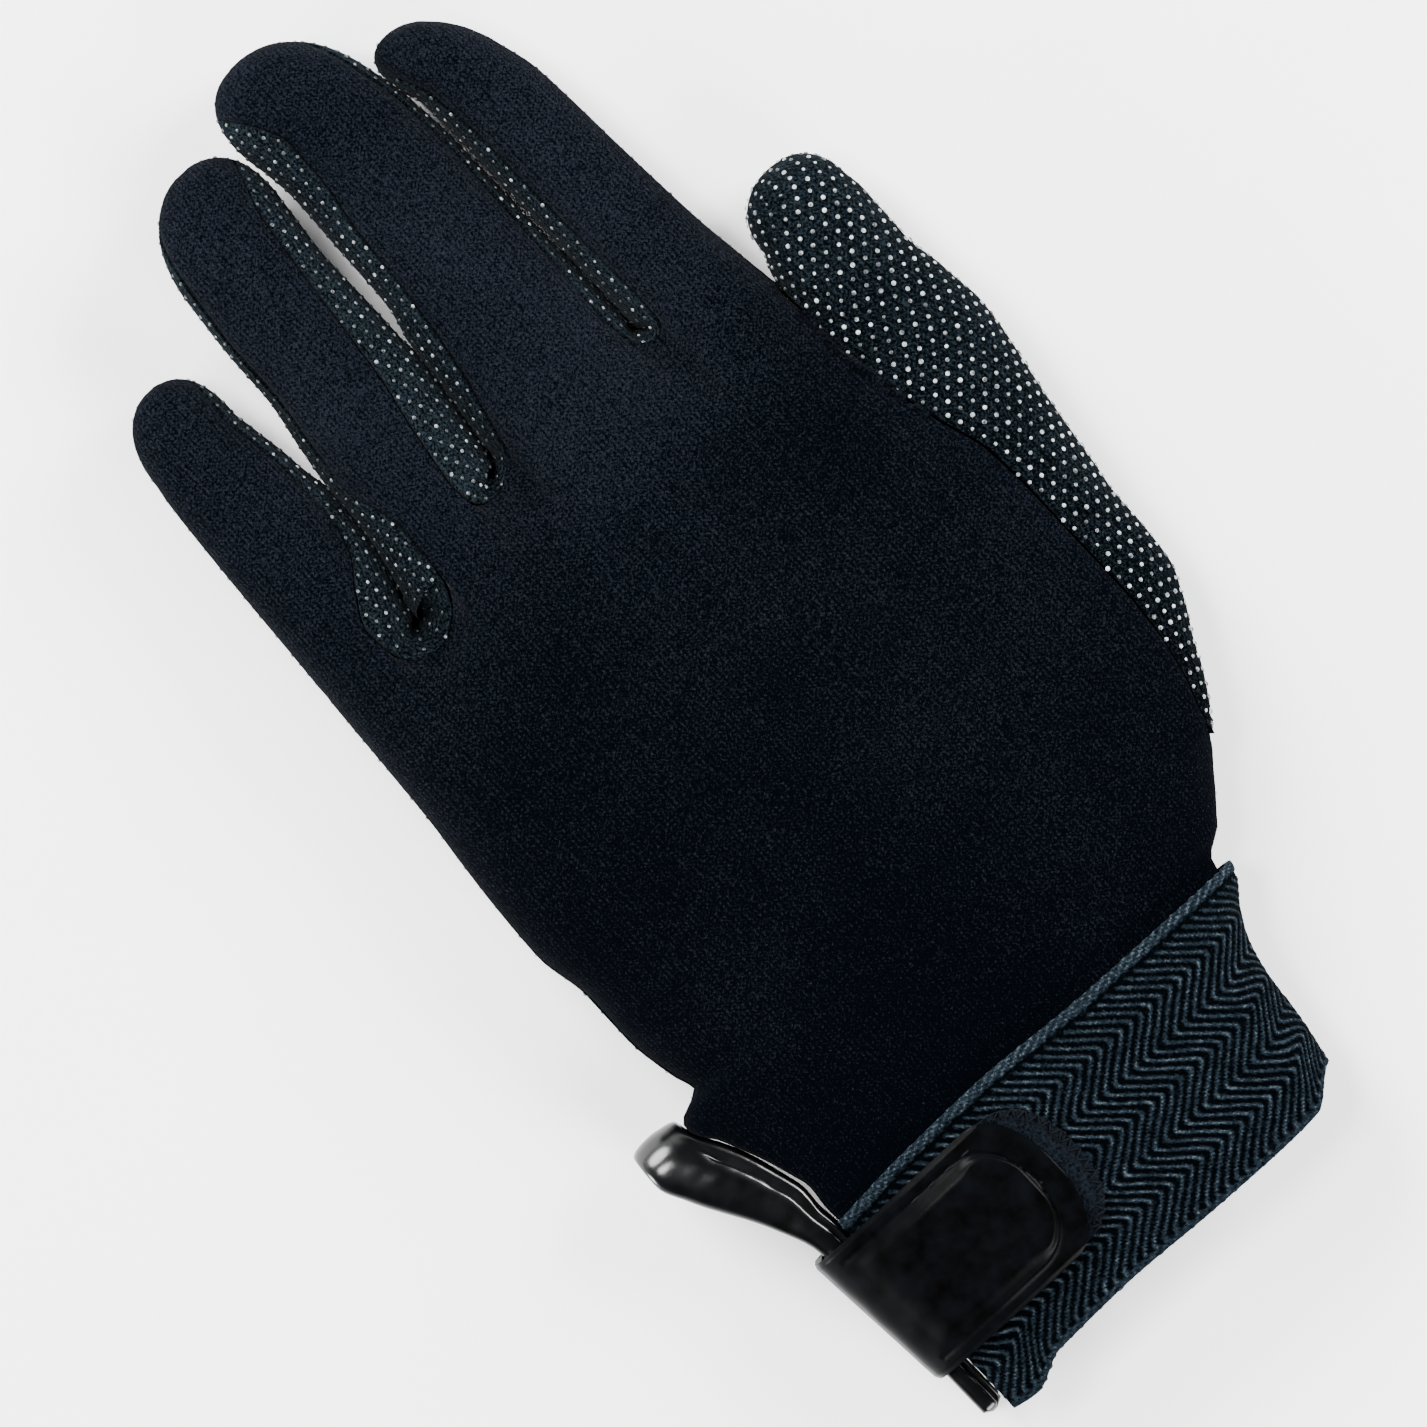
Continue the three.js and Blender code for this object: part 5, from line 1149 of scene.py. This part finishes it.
MAKERS = {
    "cotton_jersey": (jersey_material, {}),
    "grip_cotton": (grip_material, {}),
    "pvc_dots": (dot_material, {"gusset_shade": 0.0}),
    # Painted shade: the gussets' dots are darker, standing in for the shade between the fingers.
    "pvc_dots_shaded": (dot_material, {"gusset_shade": 0.09}),
    "woven_elastic": (elastic_material, {}),
    "loop_pile": (loop_material, {}),
    "coated_leather": (coated_material, {"gloss": 0.45, "roughness": 0.19}),
    "matt_leather": (coated_material, {"gloss": 0.03, "roughness": 0.3}),
    "polyester_thread": (thread_material, {}),
    "painted_board": (floor_material, {}),
}


def finish_material(name, colours):
    """The material of that name, made once."""
    make, settings_of_it = MAKERS[name]
    return bpy.data.materials.get(name) or make(name, colours, **settings_of_it)


# Settings

def length_property(name, description, default):
    return bpy.props.FloatProperty(name=name, description=description, default=default, unit="LENGTH",
                                   precision=5, min=0.0)


def colour_property(name, description, default):
    return bpy.props.FloatVectorProperty(name=name, description=description, subtype="COLOR", size=4, min=0.0,
                                         max=1.0, default=linear(default))


class GloveSizes(bpy.types.PropertyGroup):
    """Sizes of the trims and patterns."""
    dot_pitch: length_property("Dot pitch", "Distance from dot to dot across the grip", 0.00245)
    dot_radius: length_property("Dot radius", "Radius of one printed dot", 0.0004)
    dot_height: length_property("Dot height", "How far a dot stands off the cloth", 0.00028)
    cord_pitch: length_property("Cord pitch", "Distance from cord to cord across the elastic", 0.00225)
    cord_height: length_property("Cord height", "Height of the elastic's cords", 0.0003)
    cord_turn: length_property("Cord turn", "Height of one run of the herringbone", 0.0063)
    seam_roll: length_property("Seam roll", "How far the cloth rolls down into a seam", 0.0004)
    pucker: length_property("Pucker", "Height of the puckers beside a seam", 0.00035)
    stitch_length: length_property("Stitch length", "Distance from stitch to stitch on the strap", 0.0038)


class GloveColours(bpy.types.PropertyGroup):
    """Colours of the cloths and trims, as sRGB hex values."""
    jersey_dark: colour_property("Jersey, dark", "Shaded tone of the knitted back", "#010204")
    jersey_light: colour_property("Jersey, light", "Lit tone of the knitted back", "#171a20")
    grip_dark: colour_property("Grip, dark", "Shaded tone of the grip's ground", "#010203")
    grip_light: colour_property("Grip, light", "Lit tone of the grip's ground", "#1c2429")
    dot_dark: colour_property("Dots, dark", "Darker tone of the printed dots", "#1c2125")
    # The dots' lighter tone is a painted highlight, standing in for the glints of light on the domes.
    dot_painted_highlight: colour_property("Dots, light", "Lighter tone of the printed dots", "#b4babd")
    elastic_dark: colour_property("Elastic, ground", "Ground between the cords", "#010203")
    elastic_mid: colour_property("Elastic, cords", "Middle tone of the cords", "#141b21")
    elastic_light: colour_property("Elastic, crests", "Lit crests of the cords", "#394247")
    loop_dark: colour_property("Loop pile, dark", "Deep tone of the loop pile", "#010203")
    loop_light: colour_property("Loop pile, light", "Lit tone of the loop pile", "#101419")
    coated_dark: colour_property("Coated, dark", "Deep tone of the coated leather", "#010101")
    coated_light: colour_property("Coated, light", "Lighter tone of the coated leather", "#040507")
    thread_dark: colour_property("Thread, dark", "Deep tone of the thread", "#050709")
    thread_light: colour_property("Thread, light", "Lit tone of the thread", "#0b0e11")
    floor: colour_property("Floor", "Tone of the floor", "#fafafa")


# Operators

def settings(context):
    return context.scene.glove_sizes, context.scene.glove_colours


class GLOVE_OT_back(bpy.types.Operator):
    """Build the knitted back with its four fingers"""
    bl_idname = "glove.back"
    bl_label = "Back"

    def execute(self, context):
        sizes, colours = settings(context)
        bm = bmesh.new()
        for points, cloth in hand_sheets(True):
            lay_grid(bm, points, cloth)
        weld(bm)
        relief(bm, jersey_relief(sizes.seam_roll * 1000, sizes.pucker * 1000))
        make_wall(bm, JERSEY_WALL)
        obj = finish_piece("back_jersey", bm, colours, ["cotton_jersey"], "back_panel")
        return {"FINISHED"}


PALM_DOT_SIDES = 5  # fewer than elsewhere, so that the palm stays under 200,000 triangles


class GLOVE_OT_palm(bpy.types.Operator):
    """Build the dotted palm with its four fingers"""
    bl_idname = "glove.palm"
    bl_label = "Palm"

    def execute(self, context):
        sizes, colours = settings(context)
        bm = bmesh.new()
        sheets = hand_sheets(False)
        dots = []
        for points, cloth in sheets:
            points[..., 2] = np.maximum(points[..., 2], sizes.dot_height * 1000 * DOT_REACH)
            lay_grid(bm, points, cloth, flip=True)
            dots.append(lattice(points, cloth, sizes.dot_pitch * 1000))
        weld(bm)
        make_wall(bm, GRIP_WALL)
        for places, normals in dots:
            add_dots(bm, places, -normals, sizes.dot_radius * 1000, sizes.dot_height * 1000,
                     sides=PALM_DOT_SIDES)
        obj = finish_piece("palm_grip", bm, colours, ["grip_cotton", "pvc_dots"], "palm_panel")
        return {"FINISHED"}


class GLOVE_OT_thumb(bpy.types.Operator):
    """Build the dotted thumb"""
    bl_idname = "glove.thumb"
    bl_label = "Thumb"

    def execute(self, context):
        sizes, colours = settings(context)
        bm = bmesh.new()
        points, cloth = thumb_sheets()
        points[..., 2] = np.maximum(points[..., 2], sizes.dot_height * 1000 * DOT_REACH)
        lay_grid(bm, points, cloth)
        weld(bm)
        relief(bm, thumb_relief(sizes.seam_roll * 1000, sizes.pucker * 1000))
        make_wall(bm, GRIP_WALL)
        places, normals = lattice(points, cloth, sizes.dot_pitch * 1000, DOT_TURN)
        add_dots(bm, places, normals, sizes.dot_radius * 1000, sizes.dot_height * 1000)
        obj = finish_piece("thumb_grip", bm, colours, ["grip_cotton", "pvc_dots"], "thumb")
        return {"FINISHED"}


# Fingers, cut width, length and area of each gusset, metres: down one finger, round the crotch, up the next.
WORN_WIDTH, WORN_HEIGHT = 0.85, 0.7  # of the gussets' dots, as shares of a fresh one
GUSSETS = [("ring_little", 0.0180, 0.160, 0.0024), ("middle_ring", 0.0180, 0.155, 0.0026),
           ("index_middle", 0.0165, 0.150, 0.0021)]


class GLOVE_OT_fourchettes(bpy.types.Operator):
    """Build the dotted gussets between the fingers"""
    bl_idname = "glove.fourchettes"
    bl_label = "Fourchettes"

    def execute(self, context):
        sizes, colours = settings(context)
        for k, (fingers, width, length, area) in enumerate(GUSSETS):
            bm = bmesh.new()
            points, cloth = gusset_sheet(k)
            lay_grid(bm, points, cloth, flip=True)
            weld(bm)
            make_wall(bm, GUSSET_WALL)
            places, normals = lattice(points, cloth, sizes.dot_pitch * 1000)
            add_dots(bm, places, -normals, sizes.dot_radius * 1000 * WORN_WIDTH,
                     sizes.dot_height * 1000 * WORN_HEIGHT)
            obj = finish_piece("gusset_" + fingers, bm, colours, ["grip_cotton", "pvc_dots_shaded"],
                               "fourchette_" + fingers)
        return {"FINISHED"}


class GLOVE_OT_cuff(bpy.types.Operator):
    """Build the woven elastic cuff"""
    bl_idname = "glove.cuff"
    bl_label = "Elastic Cuff"

    def execute(self, context):
        sizes, colours = settings(context)
        points, _ = cuff_sheet(900, 92)
        points = even_columns(points, 420)
        rows = len(points)
        run = np.linalg.norm(np.diff(points, axis=1), axis=-1)
        s = np.concatenate([np.zeros((rows, 1)), np.cumsum(run, axis=1)], axis=1) + VENT_X
        v = np.linspace(0, 1, rows)[:, None] + 0 * s
        below = v * CUFF_WIDTH
        pitch, turn = sizes.cord_pitch * 1000, sizes.cord_turn * 1000
        flat = np.stack([s, below, 0 * s], axis=-1)
        jitter = noise_at(flat, 5.0, 6.2)
        phase = zigzag(s, below, pitch, turn, CORD_START) + 0.14 * jitter
        cord = 0.5 + 0.5 * np.cos(2 * math.pi * phase)
        cord = np.clip(cord * 1.9 - 0.75, 0, 1) * (0.85 + 0.3 * noise_at(flat, 1.6, 3.3))
        ragged = 0.35 * noise_at(np.stack([s, v, 0 * s], axis=-1), 3.0, 1.4)
        braid = smooth(BRAID_WIDTH, BRAID_WIDTH - 0.6, below + ragged)
        plait = 0.7 + 0.3 * np.cos(2 * math.pi * (s / PLAIT_PITCH + 0.8 * below + ragged))
        plait = plait * smooth(0.0, 0.35, np.abs(below + ragged - 2.5) / 1.2)
        cord = cord * smooth(BRAID_WIDTH, BRAID_WIDTH + 1, below + ragged)
        hem = smooth(CUFF_WIDTH - 1.5, CUFF_WIDTH - 0.9, below)
        height = lerp(lerp(cord, plait, braid), plait * 0.8, hem)
        down = np.gradient(points, axis=0)
        across = np.gradient(points, axis=1)
        normal = unit(np.cross(down, across))
        rise = sizes.cord_height * 1000 * (height + 0.6 * braid * np.sin(np.clip(below / 2.1, 0, 1) * math.pi))
        points = points + normal * (rise - sizes.cord_height * 1000 * 0.5)[..., None]
        points[..., 2] = np.maximum(points[..., 2], 0)
        bm = bmesh.new()
        lay_grid(bm, points, np.stack([s, height * 10], axis=-1), flip=True)
        weld(bm)
        make_wall(bm, ELASTIC_WALL)
        obj = finish_piece("cuff_band", bm, colours, ["woven_elastic"], "cuff_elastic")
        paint_cord(obj)
        return {"FINISHED"}


def paint_cord(obj):
    """Moves each point's cord height from the UV map to an attribute, and gives the map real lengths."""
    mesh = obj.data
    uv = read(mesh.uv_layers["cloth"].data, "uv", 2)
    corner = read(mesh.loops, "vertex_index", 1, np.int32)
    cord = np.zeros(len(mesh.vertices), np.float32)
    np.maximum.at(cord, corner, uv[:, 1] * 100)
    mesh.attributes.new("cord", "FLOAT", "POINT").data.foreach_set("value", cord)
    co = read(mesh.vertices, "co", 3)
    uv[:, 1] = co[corner, 1]
    mesh.uv_layers["cloth"].data.foreach_set("uv", uv.ravel())


class GLOVE_OT_loop_patch(bpy.types.Operator):
    """Build the loop patch with its sewn edge"""
    bl_idname = "glove.loop_patch"
    bl_label = "Loop Patch"

    def execute(self, context):
        _, colours = settings(context)
        points, cloth = patch_sheet()
        points[..., 2] += 0.12 * noise_at(points, 0.9)
        bm = bmesh.new()
        lay_grid(bm, points, cloth)
        weld(bm)
        make_wall(bm, PILE_WALL)
        # Zigzag stitches round the patch's visible end.
        rim = np.concatenate([points[40:, 0], points[-1, 1:-1], points[:39:-1, -1]])
        run = run_of(rim)
        at = np.arange(0, run[-1], 1.15)
        edge = np.stack([np.interp(at, run, rim[:, i]) for i in range(3)], axis=-1)
        centre = points[20, 30]
        inward = unit((centre - edge) * [1, 1, 0.0])
        inside = edge + inward * 1.7
        edge = edge - inward * 0.2
        for p in (edge, inside):
            p[:, 2] = cuff_section(p[:, 0], -p[:, 1] / CUFF_WIDTH, 0, True)[0] + LAYER_GAP + PATCH_WALL + 0.16
        zigzag_line = np.where((np.arange(len(at)) % 2 == 0)[:, None], edge, inside)
        upright = np.tile([0.0, 0.0, 1.0], (len(at) - 1, 1))
        add_threads(bm, zigzag_line[:-1], zigzag_line[1:], upright, 0.13, slot=1)
        obj = finish_piece("loop_pad", bm, colours, ["loop_pile", "polyester_thread"], "loop_patch")
        return {"FINISHED"}


class GLOVE_OT_strap(bpy.types.Operator):
    """Build the coated strap with its padded end"""
    bl_idname = "glove.strap"
    bl_label = "Strap"

    def execute(self, context):
        sizes, colours = settings(context)
        points, cloth, normal, end, over = strap_sheet()
        # The padded middle of the strap's end is a step up inside a flat rim.
        x, y = points[..., 0], points[..., 1]
        reach = end - PAD_END
        inner_half = STRAP_WIDTH / 2 - PAD_SIDE
        t = np.clip((x - (reach - PAD_ROUND * STRAP_WIDTH)) / (PAD_ROUND * STRAP_WIDTH), 0, 1)
        limit = inner_half * np.maximum(1 - t**2.2, 0) ** (1 / 2.2)
        inset = np.minimum(limit - np.abs(y - STRAP_MID), (reach - x) * 1.0)
        shown = np.where(over, smooth(FOLD_X + 3, FOLD_X + 14, x[:, 0]), 0)[:, None]
        pad = smooth(-0.25, lerp(2.6, 0.75, smooth(0, 0.5, t)), inset) * shown
        edge = np.minimum(STRAP_WIDTH / 2 - np.abs(y - STRAP_MID), np.abs(end - x) + 0.5)
        rise = 0.75 * pad - 0.35 * (1 - smooth(0.0, 0.9, edge)) + 0.06 * noise_at(points, 4.0)
        rise -= 0.16 * np.exp(-((inset + 0.5) / 0.35) ** 2) * np.where(over, 1, 0)[:, None]
        points = points + normal[:, None] * rise[..., None]
        points[..., 2] = np.maximum(points[..., 2], 0.02)
        bm = bmesh.new()
        lay_grid(bm, points, cloth, flip=False)
        weld(bm)
        make_wall(bm, LEATHER_WALL)
        # Sunken stitches show only in the middle of the groove on the finger side of the padded end.
        xs = np.arange(STITCH_FROM, STITCH_TO, sizes.stitch_length * 1000)
        spots = np.stack([xs, STRAP_MID + inner_half + 0.35 + 0 * xs], axis=-1)
        z = on_cuff(spots[:, 0], spots[:, 1]) + 2 * LAYER_GAP + PATCH_WALL + STRAP_WALL - 0.05
        a = np.stack([spots[:, 0] - 0.95, spots[:, 1], z], axis=-1)
        b = np.stack([spots[:, 0] + 0.95, spots[:, 1], z], axis=-1)
        add_threads(bm, a, b, np.tile([0.0, 0.0, 1.0], (len(a), 1)), 0.24, slot=1)
        obj = finish_piece("strap_leather", bm, colours, ["matt_leather", "polyester_thread"], "strap")
        return {"FINISHED"}


class GLOVE_OT_binding(bpy.types.Operator):
    """Build the bound edge of the vent"""
    bl_idname = "glove.binding"
    bl_label = "Vent Binding"

    def execute(self, context):
        _, colours = settings(context)
        points, cloth, s = binding_sheet()
        centre = points[:, :-1].mean(axis=1, keepdims=True)
        out = unit(points - centre)
        # A stitched groove, wavy and wrinkled, parts the thin inner piping from the soft main roll.
        wave = 0.1 * noise_at(np.stack([s, 0 * s, 0 * s], axis=-1), 4.0, 1.7)[:, None]
        ring = cloth[..., 0] / 2.4
        away = ring - 1.03 - wave
        wrinkle = 0.2 * noise_at(points * [0.7, 2.4, 1.0], 4.5, 7.7) * np.exp(-((away / 0.9) ** 2))
        groove = -0.85 * np.exp(-((away / 0.17) ** 2))
        top = np.exp(-(((s - TURN_START + 7.0) / 9.0) ** 2))[:, None]
        groove *= smooth(TURN_START + 1, TURN_START - 5, s)[:, None]
        outer = np.exp(-(((ring - 2.3) / 0.75) ** 2))
        puff = outer * (0.8 + 1.2 * top) + 0.9 * np.exp(-(((ring - math.pi) / 0.5) ** 2)) * top
        points = points + out * (wrinkle + groove + puff + 0.12 * noise_at(points, 9.0, 2.9))[..., None]
        points[:, -1] = points[:, 0]
        bm = bmesh.new()
        lay_grid(bm, points, cloth)
        weld(bm)
        bmesh.ops.holes_fill(bm, edges=[e for e in bm.edges if e.is_boundary], sides=0)
        bmesh.ops.recalc_face_normals(bm, faces=bm.faces[:])
        finish_piece("vent_roll", bm, colours, ["coated_leather"], "vent_binding")
        return {"FINISHED"}


class GLOVE_OT_stage(bpy.types.Operator):
    """Set the floor, the soft studio light and the camera"""
    bl_idname = "glove.stage"
    bl_label = "Stage"

    def execute(self, context):
        _, colours = settings(context)
        bm = bmesh.new()
        bmesh.ops.create_grid(bm, x_segments=2, y_segments=2, size=4.0)
        mesh = bpy.data.meshes.new("floor")
        bm.to_mesh(mesh)
        bm.free()
        mesh.materials.append(finish_material("painted_board", colours))
        floor = bpy.data.objects.new("floor", mesh)
        context.scene.collection.objects.link(floor)
        # Straight down, the fingers to the upper left; 242.3 mm of the glove's middle height fill the picture.
        camera = bpy.data.cameras.new("camera")
        camera.sensor_width, camera.lens = 36.0, 200.0
        distance = 0.2423 * camera.lens / camera.sensor_width
        holder = bpy.data.objects.new("camera", camera)
        holder.location = (-0.00989, -0.00762, distance + 0.014)
        holder.rotation_euler = (0.0, 0.0, math.radians(-43.4))
        camera.clip_start, camera.clip_end = 0.05, 50.0
        context.scene.collection.objects.link(holder)
        context.scene.camera = holder
        # Soft boxes low on both sides and beyond the cuff, higher ones beyond the fingers, nothing overhead.
        lights = [
            ("light_left", (-1.3, 0.2, 0.3), 0.5, 36.0),
            ("light_right", (1.25, -0.1, 0.7), 0.8, 60.0),
            ("light_top", (-0.2, 1.3, 0.9), 0.9, 80.0),
            ("light_low", (0.1, -1.3, 0.7), 0.8, 40.0),
            ("light_over", (-0.32, 0.36, 1.25), 0.35, 16.0),
        ]
        for name, place, size, energy in lights:
            light = bpy.data.lights.new(name, "AREA")
            light.shape, light.size, light.energy = "DISK", size, energy
            lamp = bpy.data.objects.new(name, light)
            lamp.location = place
            lamp.visible_camera = False
            lamp.rotation_euler = (Vector((0, 0, 0)) - Vector(place)).to_track_quat("-Z", "Y").to_euler()
            context.scene.collection.objects.link(lamp)
        world = bpy.data.worlds.new("studio")
        world.use_nodes = True
        # A light tent that is bright round the horizon and open, so dark, straight above.
        tree = world.node_tree
        tree.nodes.clear()
        upward = add(tree, "SeparateXYZ", [add(tree, "TexCoord").outputs["Generated"]]).outputs[2]
        glow = add(tree, "ValToRGB", [upward], [(0.25, linear("#e8e8e8")), (0.55, linear("#101214"))])
        add(tree, "OutputWorld", [add(tree, "Background", {"Color": glow, "Strength": 3.0})])
        context.scene.world = world
        return {"FINISHED"}


OPERATORS = [GLOVE_OT_stage, GLOVE_OT_back, GLOVE_OT_palm, GLOVE_OT_thumb, GLOVE_OT_fourchettes, GLOVE_OT_cuff,
             GLOVE_OT_loop_patch, GLOVE_OT_strap, GLOVE_OT_binding]


class GLOVE_PT_panel(bpy.types.Panel):
    """Sizes, colours and build buttons of the glove"""
    bl_idname = "GLOVE_PT_panel"
    bl_label = "Riding Glove"
    bl_space_type = "VIEW_3D"
    bl_region_type = "UI"
    bl_category = "Riding Glove"

    def draw(self, context):
        sizes, colours = settings(context)
        for group in (sizes, colours):
            box = self.layout.box()
            for key in group.__annotations__:
                box.prop(group, key)
        for operator in OPERATORS:
            self.layout.operator(operator.bl_idname)


CLASSES = [GloveSizes, GloveColours, *OPERATORS, GLOVE_PT_panel]


def register():
    for cls in CLASSES:
        bpy.utils.register_class(cls)
    bpy.types.Scene.glove_sizes = bpy.props.PointerProperty(type=GloveSizes)
    bpy.types.Scene.glove_colours = bpy.props.PointerProperty(type=GloveColours)


def unregister():
    del bpy.types.Scene.glove_sizes
    del bpy.types.Scene.glove_colours
    for cls in reversed(CLASSES):
        bpy.utils.unregister_class(cls)


def main():
    register()
    for operator in OPERATORS:
        group, name = operator.bl_idname.split(".")
        getattr(getattr(bpy.ops, group), name)()


if __name__ == "__main__":
    main()
